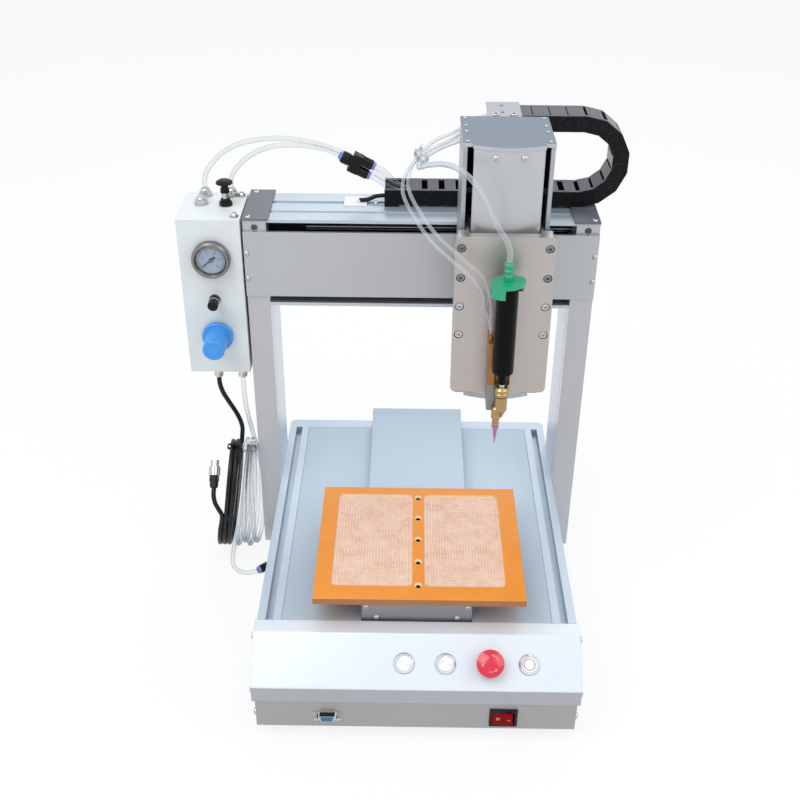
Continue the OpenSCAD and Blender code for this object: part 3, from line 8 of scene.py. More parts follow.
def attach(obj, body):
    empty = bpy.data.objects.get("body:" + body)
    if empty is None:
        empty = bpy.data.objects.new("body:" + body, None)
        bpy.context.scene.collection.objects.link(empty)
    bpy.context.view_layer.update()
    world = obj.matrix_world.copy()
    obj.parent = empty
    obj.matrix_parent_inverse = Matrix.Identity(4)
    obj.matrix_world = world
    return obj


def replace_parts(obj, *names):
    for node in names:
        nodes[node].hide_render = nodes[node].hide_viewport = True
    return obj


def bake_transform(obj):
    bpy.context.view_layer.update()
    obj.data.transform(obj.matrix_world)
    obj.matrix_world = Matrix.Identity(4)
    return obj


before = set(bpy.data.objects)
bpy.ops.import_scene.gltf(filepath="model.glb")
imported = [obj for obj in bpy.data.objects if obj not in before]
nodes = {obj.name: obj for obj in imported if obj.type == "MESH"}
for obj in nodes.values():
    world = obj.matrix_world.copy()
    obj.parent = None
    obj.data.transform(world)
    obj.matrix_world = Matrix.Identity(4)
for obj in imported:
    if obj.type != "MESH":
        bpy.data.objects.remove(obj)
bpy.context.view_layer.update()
scene = bpy.context.scene


# Camera. It stands in front of the machine, above it, and looks down on the table
# with a normal lens. Places in this file are millimetres, turned to metres by mm.
mm = 0.001
camera_at = Vector((-12.52, -1096.3, 991.85))
camera_pitch = -32.19
camera_yaw = 0.49
camera_roll = 0.42
lens = bpy.data.cameras.new("camera")
lens.lens = 50.28
lens.sensor_width = 36
eye = bpy.data.objects.new("camera", lens)
aim = Matrix.Rotation(math.radians(camera_yaw), 4, "Z")
aim @= Matrix.Rotation(math.radians(camera_pitch + 90), 4, "X")
aim @= Matrix.Rotation(math.radians(camera_roll), 4, "Z")
eye.matrix_world = Matrix.Translation(camera_at * mm) @ aim
scene.collection.objects.link(eye)
scene.camera = eye


# Room. A pale studio with one large soft lamp over the front left, a second one from
# the right and a bright ceiling; the white floor takes only a faint shadow.
def put(tree, kind, inputs=None, **settings):
    """Adds one shader node with its settings, and its inputs as values or links."""
    node = tree.nodes.new(kind)
    for name, value in settings.items():
        setattr(node, name, value)
    for name, value in (inputs or {}).items():
        if isinstance(value, bpy.types.NodeSocket):
            tree.links.new(value, node.inputs[name])
        else:
            node.inputs[name].default_value = value
    return node


def shade(code, gain=1.0):
    """A colour written as sRGB hex, turned to linear."""
    parts = [int(code[i:i + 2], 16) / 255 for i in (1, 3, 5)]
    flat = [p / 12.92 if p <= 0.04045 else ((p + 0.055) / 1.055) ** 2.4 for p in parts]
    return tuple(min(1, p * gain) for p in flat) + (1,)


def start(name):
    """An empty material and its node tree."""
    finish = bpy.data.materials.new(name)
    finish.use_nodes = True
    finish.node_tree.nodes.clear()
    return finish, finish.node_tree


def looked_at(tree):
    """Gives 1 to rays from the eye, from a mirror or through a pane, and 0 to spread light."""
    rays = put(tree, "ShaderNodeLightPath")
    direct = put(tree, "ShaderNodeMath", {0: rays.outputs["Is Camera Ray"],
                 1: rays.outputs["Is Glossy Ray"]}, operation="MAXIMUM")
    return put(tree, "ShaderNodeMath", {0: direct.outputs[0], 1: rays.outputs["Is Transmission Ray"]},
               operation="MAXIMUM")


scene.view_settings.view_transform = "Standard"
sky_level = (0.42, 0.78)
floor_glow = 0.84
room = bpy.data.worlds.new("studio")
room.use_nodes = True
room.node_tree.nodes.clear()
scene.world = room
seen = looked_at(room.node_tree)
sky = put(room.node_tree, "ShaderNodeTexCoord")
height = put(room.node_tree, "ShaderNodeSeparateXYZ", {0: sky.outputs["Generated"]})
ceiling = put(room.node_tree, "ShaderNodeMapRange", {"Value": height.outputs["Z"], "From Min": -0.2,
              "From Max": 0.9, "To Min": sky_level[0], "To Max": sky_level[1]})
level = put(room.node_tree, "ShaderNodeMix", {0: seen.outputs[0], 2: ceiling.outputs[0], 3: 1.0})
glow = put(room.node_tree, "ShaderNodeBackground", {"Color": shade("#f6f9ff"),
           "Strength": level.outputs[0]})
put(room.node_tree, "ShaderNodeOutputWorld", {"Surface": glow.outputs[0]})

lamps = {"lamp_key": ((-900, -900, 2100), 1.5, 21), "lamp_fill": ((1300, -700, 1500), 1.4, 9),
         "lamp_back": ((200, 1500, 1900), 1.2, 8)}
lamp_aim = Vector((0, 0, 250))
for lamp_name, (spot, side, power) in lamps.items():
    lamp = bpy.data.lights.new(lamp_name, "AREA")
    lamp.size = side
    lamp.energy = power
    holder = bpy.data.objects.new(lamp_name, lamp)
    holder.location = Vector(spot) * mm
    holder.rotation_euler = (lamp_aim - Vector(spot)).to_track_quat("-Z", "Y").to_euler()
    scene.collection.objects.link(holder)

floor_half = 9
floor_mesh = bpy.data.meshes.new("floor")
floor_mesh.from_pydata([(x, y, 0) for x, y in ((-1, -1), (1, -1), (1, 1), (-1, 1))], [], [(0, 1, 2, 3)])
floor_mesh.transform(Matrix.Scale(floor_half, 4))
floor = bpy.data.objects.new("floor", floor_mesh)
scene.collection.objects.link(floor)
floor_finish, tree = start("white_paper")
seen = looked_at(tree)
share = put(tree, "ShaderNodeMath", {0: seen.outputs[0], 1: floor_glow}, operation="MULTIPLY")
paper = put(tree, "ShaderNodeBsdfDiffuse", {"Color": shade("#f7f8fa")})
white = put(tree, "ShaderNodeEmission", {"Color": (1, 1, 1, 1), "Strength": 1.0})
blend = put(tree, "ShaderNodeMixShader", {0: share.outputs[0], 1: paper.outputs[0], 2: white.outputs[0]})
put(tree, "ShaderNodeOutputMaterial", {"Surface": blend.outputs[0]})
floor_mesh.materials.append(floor_finish)


# Air supply hose. Clear polyurethane tube, 6 mm outside and 4 mm inside, that leaves
# the panel, hangs down behind, is wound into a hank and ends in a push-in fitting.
def smooth(points, steps=6):
    """A curve through given points, as a list of vectors."""
    pts = [Vector(p) for p in points]
    out = []
    for i in range(len(pts) - 1):
        a, b, c, d = pts[max(i - 1, 0)], pts[i], pts[i + 1], pts[min(i + 2, len(pts) - 1)]
        reach = (c - b).length
        into = (c - a).normalized() * reach
        out_of = (d - b).normalized() * reach
        for k in range(steps):
            t = k / steps
            out.append(b * (2 * t ** 3 - 3 * t ** 2 + 1) + into * (t ** 3 - 2 * t ** 2 + t)
                       + c * (3 * t ** 2 - 2 * t ** 3) + out_of * (t ** 3 - t ** 2))
    return out + [pts[-1]]


def piece(name, mesh, finish, body=None, sharp=40):
    """An object from a bmesh in millimetres, shaded smooth up to an angle."""
    data = bpy.data.meshes.new(name)
    mesh.transform(Matrix.Scale(mm, 4))
    bmesh.ops.recalc_face_normals(mesh, faces=mesh.faces)
    mesh.to_mesh(data)
    mesh.free()
    data.shade_smooth()
    data.set_sharp_from_angle(angle=math.radians(sharp))
    data.materials.append(finish)
    made = bpy.data.objects.new(name, data)
    scene.collection.objects.link(made)
    if body:
        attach(made, body)
    return made


def sweep(mesh, path, radius, sides, flip=False):
    """Rings square to a path, joined by a skin; gives the first and the last ring."""
    side = (path[1] - path[0]).orthogonal().normalized()
    turns = [k * math.tau / sides for k in range(sides)]
    rings = []
    for i, p in enumerate(path):
        ahead = (path[min(i + 1, len(path) - 1)] - path[max(i - 1, 0)]).normalized()
        side = (side - ahead * side.dot(ahead)).normalized()
        other = ahead.cross(side)
        spokes = [math.cos(a) * side + math.sin(a) * other for a in turns]
        rings.append([mesh.verts.new(p + radius * spoke) for spoke in spokes])
    for low, high in zip(rings, rings[1:]):
        for k in range(sides):
            corners = [low[k], low[(k + 1) % sides], high[(k + 1) % sides], high[k]]
            mesh.faces.new(corners[::-1] if flip else corners)
    return rings[0], rings[-1]


def hose(name, path, radius, finish, body=None, bore=0, sides=16):
    """A hose or cable along a path; one with a bore has an open wall at each end, and its
    bore takes the second finish."""
    mesh = bmesh.new()
    ends = sweep(mesh, path, radius, sides)
    if bore:
        skin = len(mesh.faces)
        inner_ends = sweep(mesh, path, bore, sides, flip=True)
        mesh.faces.ensure_lookup_table()
        for face in mesh.faces[skin:]:
            face.material_index = 1
        for outer, inner in zip(ends, inner_ends):
            for k in range(sides):
                mesh.faces.new([outer[k], outer[(k + 1) % sides], inner[(k + 1) % sides], inner[k]])
    else:
        for ring in ends:
            mesh.faces.new(ring)
    made = piece(name, mesh, finish, body)
    if bore:
        made.data.materials.append(clear_bore)
    return made


def clear_polyurethane(name, milk, edge_tone):
    """Extruded clear tube: see-through in the middle, grey along its edges, where its wall is
    seen end on, slightly milky in long patches, with a thin bright line along the light. Milk
    is how much of it is solid in the middle and at the edge."""
    finish, tree = start(name)
    place = put(tree, "ShaderNodeTexCoord")
    haze = put(tree, "ShaderNodeTexNoise", {"Vector": place.outputs["Object"], "Scale": 1 / (30 * mm)})
    edge = put(tree, "ShaderNodeLayerWeight", {"Blend": 0.4})
    wall = put(tree, "ShaderNodeMath", {0: haze.outputs[0], 1: 0.1, 2: edge.outputs["Facing"]},
               operation="MULTIPLY_ADD")
    solid = put(tree, "ShaderNodeMapRange", {"Value": wall.outputs[0], "From Min": 0.05, "From Max": 1.0,
                "To Min": milk[0], "To Max": milk[1]})
    depth = put(tree, "ShaderNodeMapRange", {"Value": wall.outputs[0], "From Min": 0.25, "From Max": 1.0})
    tint = put(tree, "ShaderNodeMix", {0: depth.outputs[0], 6: shade("#fbfcfc"), 7: shade(edge_tone)},
               data_type="RGBA")
    skin = put(tree, "ShaderNodeBsdfPrincipled", {"Base Color": shade("#f4f6f7"), "IOR": 1.45,
               "Roughness": 0.2, "Coat Weight": 0.3, "Coat Roughness": 0.1})
    open_air = put(tree, "ShaderNodeBsdfTransparent", {"Color": tint.outputs[2]})
    # Only the near side of the tube is milky: a second milky layer behind it adds grain, not form.
    form = put(tree, "ShaderNodeNewGeometry")
    near = put(tree, "ShaderNodeMath", {0: 1.0, 1: form.outputs["Backfacing"]}, operation="SUBTRACT")
    milky = put(tree, "ShaderNodeMath", {0: solid.outputs[0], 1: near.outputs[0]}, operation="MULTIPLY")
    both = put(tree, "ShaderNodeMixShader", {0: milky.outputs[0], 1: open_air.outputs[0],
               2: skin.outputs[0]})
    put(tree, "ShaderNodeOutputMaterial", {"Surface": both.outputs[0]})
    return finish


def polyurethane_bore():
    """Inner wall of the extruded tube: clear, with a thin grey line along each side, where the
    bore is seen edge on."""
    finish, tree = start("extruded_tube_bore")
    place = put(tree, "ShaderNodeTexCoord")
    wall = put(tree, "ShaderNodeTexNoise", {"Vector": place.outputs["Object"], "Scale": 1 / (30 * mm)})
    tint = put(tree, "ShaderNodeMix", {0: wall.outputs[0], 6: shade("#f4f6f7"), 7: shade("#fdfdfd")},
               data_type="RGBA")
    edge = put(tree, "ShaderNodeLayerWeight", {"Blend": 0.4})
    line = put(tree, "ShaderNodeMapRange", {"Value": edge.outputs["Facing"], "From Min": 0.55,
               "From Max": 1.0})
    colour = put(tree, "ShaderNodeMix", {0: line.outputs[0], 6: tint.outputs[2], 7: shade("#97a3b5")},
                 data_type="RGBA")
    clear = put(tree, "ShaderNodeBsdfTransparent", {"Color": colour.outputs[2]})
    put(tree, "ShaderNodeOutputMaterial", {"Surface": clear.outputs[0]})
    return finish


hose_r = 3
bore_r = 2
hank_y = 98
hank_low = 62
hank_high = 121.5
hank_ends = (15.5, 168)
steps_a_turn = 36
turn_down, turn_below, turn_up = 0.16, 0.5, 0.66
clear_tube = clear_polyurethane("extruded_clear_polyurethane", (0.06, 0.34), "#c4cbd3")
clear_bore = polyurethane_bore()


def ease(t):
    """A step from 0 to 1 that starts and ends flat."""
    t = min(1, max(0, t))
    return t * t * (3 - 2 * t)


def hank_turn(share, radius):
    """A point of a hank in Y and Z: down the back, round below, up the front, over."""
    if share < turn_down:
        return hank_y + radius, hank_high + (hank_low - hank_high) * share / turn_down
    if share < turn_below:
        turn = math.pi * (share - turn_down) / (turn_below - turn_down)
        return hank_y + radius * math.cos(turn), hank_low - radius * math.sin(turn)
    if share < turn_up:
        rise = (share - turn_below) / (turn_up - turn_below)
        return hank_y - radius, hank_low + (hank_high - hank_low) * rise
    turn = math.pi * (share - turn_up) / (1 - turn_up)
    return hank_y - radius * math.cos(turn), hank_high + radius * math.sin(turn)


def between(z, low, high):
    """A value that runs straight from the foot of a hank to its top."""
    return low + (high - low) * (z - hank_ends[0]) / (hank_ends[1] - hank_ends[0])


def strap(mesh, loop, along, wide, thick):
    """A flat band inside a loop of points, wide along one direction."""
    rows = []
    half = along * wide / 2
    for i, p in enumerate(loop):
        ahead = (loop[(i + 1) % len(loop)] - loop[i - 1]).normalized()
        inside = p + ahead.cross(along) * thick
        rows.append([mesh.verts.new(q) for q in (p - half, p + half, inside + half, inside - half)])
    for i, row in enumerate(rows):
        ahead = rows[(i + 1) % len(rows)]
        for k in range(4):
            mesh.faces.new([row[k], row[(k + 1) % 4], ahead[(k + 1) % 4], ahead[k]])


def tie(name, low, high, corner, finish):
    """A cable tie round the top of a hank, between two corners in X and Z, with its lock and
    its rising tail; those two are boxes set beside the middle of the band's upper side."""
    band_wide, band_thick = 4.2, 0.9
    lock = (5.4, 6.4, 4.2), (-1.5, 0, 2.2), 0
    tail = (9, 3.8, 1.1), (3, 0, 3.4), 0.12
    mesh = bmesh.new()
    loop = []
    for quarter, (right, top) in enumerate(((1, 1), (0, 1), (0, 0), (1, 0))):
        x = high[0] - corner if right else low[0] + corner
        z = high[1] - corner if top else low[1] + corner
        for k in range(6):
            a = (quarter + k / 5) * math.pi / 2
            loop.append(Vector((x + corner * math.cos(a), hank_y, z + corner * math.sin(a))))
    strap(mesh, loop, Vector((0, 1, 0)), band_wide, band_thick)
    for size, place, rise in (lock, tail):
        for v in bmesh.ops.create_cube(mesh, size=1)["verts"]:
            v.co = Vector(place) + v.co * Vector(size)
            v.co += Vector(((low[0] + high[0]) / 2, hank_y, high[1] + rise * v.co.x))
    return piece(name, mesh, finish, "base", 30)


air_drop = [(-220, 104, 269), (-220, 104, 250), (-220, 107, 228), (-219, 113, 205), (-218, 122, 184),
            (-217, 130.5, 163)]
air_tail = [(-246, 80, 15.2), (-246, 67, 12), (-245, 54, 8), (-240.9, 45.2, 5.4), (-232.1, 38.2, 4.6),
            (-222, 36, 5.3), (-213.8, 37.4, 6), (-207.2, 41.1, 6.5)]
air_layers = (46.6, 39.8)
air_below = (-211, -8.235)
air_above = (-210, -3.1)
air_turns = 4.33
air_coils = []
for i in range(2, int(air_turns * steps_a_turn) + 1):
    turn, share = divmod(i / steps_a_turn, 1)
    cross = ease((share - turn_down) / (turn_below - turn_down))
    step = 0.5 * cross + 0.5 * ease((share - turn_up) / (1 - turn_up))
    lay = turn % 2 + (1 - 2 * (turn % 2)) * cross * (turn < 4)
    radius = air_layers[0] + (air_layers[1] - air_layers[0]) * lay
    y, z = hank_turn(share, radius)
    along = turn + step
    x = between(z, air_below[0] + air_below[1] * along, air_above[0] + air_above[1] * along)
    air_coils.append((x, y, z))
air_path = smooth(air_drop + air_coils[:5:2])[:-1] + [Vector(p) for p in air_coils[4:-2]]
air_path += smooth(air_coils[-2:-1] + air_tail)
air_hose = hose("air_supply_hose", air_path, hose_r, clear_tube, "base", bore_r, 14)
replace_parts(air_hose, "air_hose", "air_coil")


def nylon(name, tone):
    """Moulded nylon tie: milky and waxy, with a broad soft highlight."""
    finish, tree = start(name)
    place = put(tree, "ShaderNodeTexCoord")
    cloud = put(tree, "ShaderNodeTexNoise", {"Vector": place.outputs["Object"], "Scale": 1 / (4 * mm)})
    colour = put(tree, "ShaderNodeMix", {0: cloud.outputs[0], 6: shade(tone, 0.9), 7: shade(tone, 1.1)},
                 data_type="RGBA")
    body = put(tree, "ShaderNodeBsdfPrincipled", {"Base Color": colour.outputs[2], "Roughness": 0.4,
               "IOR": 1.53})
    put(tree, "ShaderNodeOutputMaterial", {"Surface": body.outputs[0]})
    return finish


air_tie = tie("air_hank_tie", (-226.6, 157.9), (-206.8, 171.5), 4, nylon("moulded_white_nylon", "#e6e9ea"))


# Power lead. Black PVC round cable, 6 mm thick, from a gland in the panel to a hank
# beside the air hose; its end comes up inside the hank and carries a round connector.
def black_pvc():
    """Extruded soft PVC jacket: black with a slight bloom that dulls the highlight."""
    finish, tree = start("extruded_black_pvc")
    place = put(tree, "ShaderNodeTexCoord")
    bloom = put(tree, "ShaderNodeTexNoise", {"Vector": place.outputs["Object"], "Scale": 1 / (14 * mm),
                "Detail": 4.0})
    tone = put(tree, "ShaderNodeMix", {0: bloom.outputs[0], 6: shade("#0e0f10"), 7: shade("#1b1d1f")},
               data_type="RGBA")
    gloss = put(tree, "ShaderNodeMapRange", {"Value": bloom.outputs[0], "To Min": 0.28, "To Max": 0.46})
    body = put(tree, "ShaderNodeBsdfPrincipled", {"Base Color": tone.outputs[2], "IOR": 1.52,
               "Roughness": gloss.outputs[0], "Specular IOR Level": 0.3})
    put(tree, "ShaderNodeOutputMaterial", {"Surface": body.outputs[0]})
    return finish


lead_r = 3
lead_drop = [(-250, 104, 269), (-250, 104, 258), (-247, 105, 244), (-241, 108, 228), (-235, 113, 211),
             (-231, 119, 194), (-230, 126, 177), (-232, 131.5, 161.5)]
lead_end = [(-253.5, 54, 86), (-257, 53.5, 97), (-261, 55, 106), (-263, 59.5, 114.5), (-263, 66, 122)]
lead_below = -251.9
lead_above = -230.2
lead_pitch = 6.2
lead_r_turn = 44
lead_turns = 2.58
lead_coils = []
for i in range(2, int(lead_turns * steps_a_turn)):
    turn, share = divmod(i / steps_a_turn, 1)
    y, z = hank_turn(share, lead_r_turn)
    step = ease((share - turn_up) / (1 - turn_up))
    lead_coils.append((between(z, lead_below, lead_above) - lead_pitch * (turn + step), y, z))
lead_path = smooth(lead_drop + lead_coils[:5:2])[:-1] + [Vector(p) for p in lead_coils[4:-2]]
lead_path += smooth(lead_coils[-2:-1] + lead_end)
black_jacket = black_pvc()
power_lead = hose("power_supply_lead", lead_path, lead_r, black_jacket, "base", 0, 14)
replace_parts(power_lead, "power_lead", "power_coil")
black_nylon = nylon("moulded_black_nylon", "#1c1d1f")
lead_tie = tie("lead_hank_tie", (-246.6, 161.8), (-227.4, 169.4), 3.2, black_nylon)


# Base pan and frame. The pan is folded steel sheet that also makes the lower front
# panel; the rails and the rear bar are extruded aluminium, blasted and clear anodised.
def brushed(name, tone, stroke, metallic, roughness, edge=0.8):
    """Aluminium sheet brushed along one axis: fine straight lines that widen the highlight
    across the stroke. The lines are drawn at 1.2 mm, coarser than real, so that they show."""
    finish, tree = start(name)
    line = 1 / (1.2 * mm)
    scale = [line, line, line]
    scale[stroke] = 1 / (90 * mm)
    place = put(tree, "ShaderNodeTexCoord")
    drawn = put(tree, "ShaderNodeMapping", {"Vector": place.outputs["Object"], "Scale": scale})
    lines = put(tree, "ShaderNodeTexNoise", {"Vector": drawn.outputs[0], "Scale": 1.0, "Detail": 2.0})
    cloud = put(tree, "ShaderNodeTexNoise", {"Vector": place.outputs["Object"], "Scale": 1 / (70 * mm)})
    both = put(tree, "ShaderNodeMath", {0: lines.outputs[0], 1: cloud.outputs[0]}, operation="MULTIPLY")
    colour = put(tree, "ShaderNodeMix", {0: both.outputs[0], 6: shade(tone, 0.92), 7: shade(tone, 1.08)},
                 data_type="RGBA")
    gloss = put(tree, "ShaderNodeMapRange", {"Value": lines.outputs[0], "To Min": roughness - 0.06,
                "To Max": roughness + 0.08})
    corner = put(tree, "ShaderNodeBevel", {"Radius": edge * mm}, samples=4)
    groove = put(tree, "ShaderNodeBump", {"Height": lines.outputs[0], "Normal": corner.outputs[0],
                 "Strength": 0.05, "Distance": 0.3 * mm})
    body = put(tree, "ShaderNodeBsdfPrincipled", {"Base Color": colour.outputs[2], "Metallic": metallic,
               "Roughness": gloss.outputs[0], "Normal": groove.outputs[0]})
    put(tree, "ShaderNodeOutputMaterial", {"Surface": body.outputs[0]})
    return finish


def blasted(name, tone, metallic, roughness, grain=1.4, edge=0.8):
    """Blasted and anodised aluminium: an even pale satin with a faint grain and soft bright
    edges. The grain is drawn at 1.4 mm, coarser than the real grit, so that it shows."""
    finish, tree = start(name)
    place = put(tree, "ShaderNodeTexCoord")
    grit = put(tree, "ShaderNodeTexNoise", {"Vector": place.outputs["Object"], "Scale": 1 / (grain * mm),
               "Detail": 3.0})
    cloud = put(tree, "ShaderNodeTexNoise", {"Vector": place.outputs["Object"], "Scale": 1 / (120 * mm)})
    colour = put(tree, "ShaderNodeMix", {0: cloud.outputs[0], 6: shade(tone, 0.95), 7: shade(tone, 1.05)},
                 data_type="RGBA")
    gloss = put(tree, "ShaderNodeMapRange", {"Value": cloud.outputs[0], "To Min": roughness - 0.05,
                "To Max": roughness + 0.05})
    corner = put(tree, "ShaderNodeBevel", {"Radius": edge * mm}, samples=4)
    relief = put(tree, "ShaderNodeBump", {"Height": grit.outputs[0], "Strength": 0.05, "Distance": 0.2 * mm,
                 "Normal": corner.outputs[0]})
    body = put(tree, "ShaderNodeBsdfPrincipled", {"Base Color": colour.outputs[2], "Metallic": metallic,
               "Roughness": gloss.outputs[0], "Normal": relief.outputs[0]})
    put(tree, "ShaderNodeOutputMaterial", {"Surface": body.outputs[0]})
    return finish


def dress(finish, *names):
    """Gives CAD pieces their finish."""
    for name in names:
        data = nodes[name].data
        data.materials.clear()
        data.materials.append(finish)


def reface(name, finish, rule):
    """Gives another finish to the faces of a CAD piece that a rule picks, in millimetres."""
    data = nodes[name].data
    data.materials.append(finish)
    for face in data.polygons:
        if rule(face.center / mm, face.normal):
            face.material_index = len(data.materials) - 1


def rubber():
    """Moulded rubber: matt dark grey, rubbed lighter in places."""
    finish, tree = start("moulded_black_rubber")
    place = put(tree, "ShaderNodeTexCoord")
    worn = put(tree, "ShaderNodeTexNoise", {"Vector": place.outputs["Object"], "Scale": 1 / (5 * mm),
               "Detail": 5.0})
    colour = put(tree, "ShaderNodeMix", {0: worn.outputs[0], 6: shade("#161616"), 7: shade("#2b2b2b")},
                 data_type="RGBA")
    body = put(tree, "ShaderNodeBsdfPrincipled", {"Base Color": colour.outputs[2], "Roughness": 0.75})
    put(tree, "ShaderNodeOutputMaterial", {"Surface": body.outputs[0]})
    return finish


dress(brushed("brushed_steel_sheet", "#aba7a7", 0, 0.55, 0.38), "base_pan")
dress(blasted("blasted_clear_anodised_aluminium", "#c5d2dd", 0.45, 0.42), "base_frame")
dress(blasted("blasted_deck_plate", "#b5c4d0", 0.4, 0.45), "deck_plates")
black_rubber = rubber()
dress(black_rubber, "feet")


# Console. One folded sheet with a sloped face and a strip in pale silver enamel; its lip, the same sheet,
# gets a darker brushed finish as painted shade. Dome-head screws through its cheeks and through the pan
# hold it.
def turned(mesh, rings, at, axis, corners=36):
    """A turned shape on an axis: rings are a radius, a height and, for a hexagon, a 6.
    A profile that ends where it starts is a hollow ring, and any other is closed."""
    face = Vector(axis).to_track_quat("Z", "Y").to_matrix()
    rows = []
    for radius, height, *hexagon in rings:
        row = []
        for k in range(corners):
            a = k * math.tau / corners
            bend = math.cos(math.tau / 12) / math.cos(a % (math.tau / 6) - math.tau / 12)
            reach = radius * bend if hexagon else radius
            spot = Vector((reach * math.cos(a), reach * math.sin(a), height))
            row.append(mesh.verts.new(Vector(at) + face @ spot))
        rows.append(row)
    hollow = tuple(rings[0]) == tuple(rings[-1])
    for low, high in zip(rows, rows[1:]):
        for k in range(corners):
            mesh.faces.new([low[k], low[(k + 1) % corners], high[(k + 1) % corners], high[k]])
    if hollow:
        bmesh.ops.remove_doubles(mesh, verts=rows[0] + rows[-1], dist=1e-4)
    else:
        mesh.faces.new(rows[0][::-1])
        mesh.faces.new(rows[-1])


def screws(name, body, spots, axis, rings, finish, corners=36, sharp=30):
    """A group of like screws or other turned parts, each standing on its spot."""
    mesh = bmesh.new()
    for spot in spots:
        turned(mesh, rings, spot, axis, corners)
    return piece(name, mesh, finish, body, sharp)


def steel(name, tone, roughness):
    """Machined and plated steel: bright, with fine scratches that blur the reflections."""
    finish, tree = start(name)
    place = put(tree, "ShaderNodeTexCoord")
    mark = put(tree, "ShaderNodeTexNoise", {"Vector": place.outputs["Object"], "Scale": 1 / (1.5 * mm),
               "Detail": 6.0, "Roughness": 0.7})
    colour = put(tree, "ShaderNodeMix", {0: mark.outputs[0], 6: shade(tone, 0.8), 7: shade(tone, 1.15)},
                 data_type="RGBA")
    gloss = put(tree, "ShaderNodeMapRange", {"Value": mark.outputs[0], "To Min": roughness * 0.7,
                "To Max": roughness * 1.4})
    body = put(tree, "ShaderNodeBsdfPrincipled", {"Base Color": colour.outputs[2], "Metallic": 1.0,
               "Roughness": gloss.outputs[0]})
    put(tree, "ShaderNodeOutputMaterial", {"Surface": body.outputs[0]})
    return finish


dome_head = [(4.2, -1), (4.2, 0.5), (3.9, 1.3), (3.2, 2.0), (2.3, 2.4), (1.7, 2.5), (1.6, 2.5, 6),
             (1.6, 1.0, 6)]
zinc_steel = steel("zinc_plated_steel", "#c8cacc", 0.25)
dress(blasted("silver_stove_enamel", "#e0e7ed", 0.2, 0.36, 2.0, 1.6), "console")
# The lip's faces get a darker brushed finish than the slope: painted shade on the same sheet turned from
# the light.
reface("console", brushed("painted_shade_console_lip", "#b2b3b8", 0, 0.5, 0.36), lambda at, out: out.y < -0.88)
cheek_x = 180.5
pan_x = 178.5
for side in (-1, 1):
    label = "left" if side < 0 else "right"
    screws("cheek_screws_" + label, "base", [(side * cheek_x, -190, 111), (side * cheek_x, -228, 67)],
           (side, 0, 0), dome_head, zinc_steel)
    screws("pan_screw_" + label, "base", [(side * pan_x, -226, 31)], (side, 0, 0), dome_head, zinc_steel)


# Console switches. Stainless push buttons with turned rims over black rubber gaskets, which also stand for
# painted shade under the rims, a red mushroom stop, a rocker in a black snap-in bezel and a shielded socket
# for the pendant.
def moulded(name, tone, roughness, grain=0.9, spread=0.12, coat=0.0, sheen=0.5):
    """Injection moulded plastic: an even colour with a faint mould texture, and soft edges.
    The texture is drawn at about 1 mm, coarser than real, so that it shows."""
    finish, tree = start(name)
    place = put(tree, "ShaderNodeTexCoord")
    grit = put(tree, "ShaderNodeTexNoise", {"Vector": place.outputs["Object"], "Scale": 1 / (grain * mm),
               "Detail": 2.0})
    cloud = put(tree, "ShaderNodeTexNoise", {"Vector": place.outputs["Object"], "Scale": 1 / (18 * mm),
                "Detail": 3.0})
    colour = put(tree, "ShaderNodeMix", {0: cloud.outputs[0], 6: shade(tone, 1 - spread),
                 7: shade(tone, 1 + spread)}, data_type="RGBA")
    gloss = put(tree, "ShaderNodeMapRange", {"Value": cloud.outputs[0], "To Min": roughness - 0.05,
                "To Max": roughness + 0.06})
    corner = put(tree, "ShaderNodeBevel", {"Radius": 0.5 * mm}, samples=4)
    relief = put(tree, "ShaderNodeBump", {"Height": grit.outputs[0], "Strength": 0.06, "Distance": 0.2 * mm,
                 "Normal": corner.outputs[0]})
    body = put(tree, "ShaderNodeBsdfPrincipled", {"Base Color": colour.outputs[2], "IOR": 1.5,
               "Roughness": gloss.outputs[0], "Coat Weight": coat, "Specular IOR Level": sheen,
               "Normal": relief.outputs[0]})
    put(tree, "ShaderNodeOutputMaterial", {"Surface": body.outputs[0]})
    return finish


slope_tilt = math.radians(42.34)
slope_out = Vector((0, -math.sin(slope_tilt), math.cos(slope_tilt)))
slope_up = Vector((0, math.cos(slope_tilt), math.sin(slope_tilt)))
slope_row = (-214.6, 96.5)
button_x = {"button_dispense": -13.5, "button_reset": 32, "button_start": 123.5}


def on_slope(x, height=0):
    """A point in the row of buttons, at a height over the console's slope."""
    return Vector((x, *slope_row)) + slope_out * height


def spun_steel(centre):
    """Stainless steel turned on a lathe: fine rings round the centre that draw a bright
    fan across the face. The rings are drawn at 0.9 mm so that the fan shows."""
    finish, tree = start("spun_stainless_steel")
    place = put(tree, "ShaderNodeTexCoord")
    turn = put(tree, "ShaderNodeVectorMath", {0: place.outputs["Object"], 1: centre * mm},
               operation="SUBTRACT")
    reach = put(tree, "ShaderNodeVectorMath", {0: turn.outputs[0]}, operation="LENGTH")
    cut = put(tree, "ShaderNodeMath", {0: reach.outputs["Value"], 1: math.tau / (0.9 * mm)},
              operation="MULTIPLY")
    wave = put(tree, "ShaderNodeMath", {0: cut.outputs[0]}, operation="SINE")
    relief = put(tree, "ShaderNodeBump", {"Height": wave.outputs[0], "Strength": 0.2,
                 "Distance": 0.03 * mm})
    grain = put(tree, "ShaderNodeVectorMath", {0: turn.outputs[0], 1: slope_out},
                operation="CROSS_PRODUCT")
    body = put(tree, "ShaderNodeBsdfPrincipled", {"Base Color": shade("#f3f4f5"), "Metallic": 0.8,
               "Roughness": 0.3, "Anisotropic": 0.85, "Tangent": grain.outputs[0],
               "Normal": relief.outputs[0]})
    put(tree, "ShaderNodeOutputMaterial", {"Surface": body.outputs[0]})
    return finish


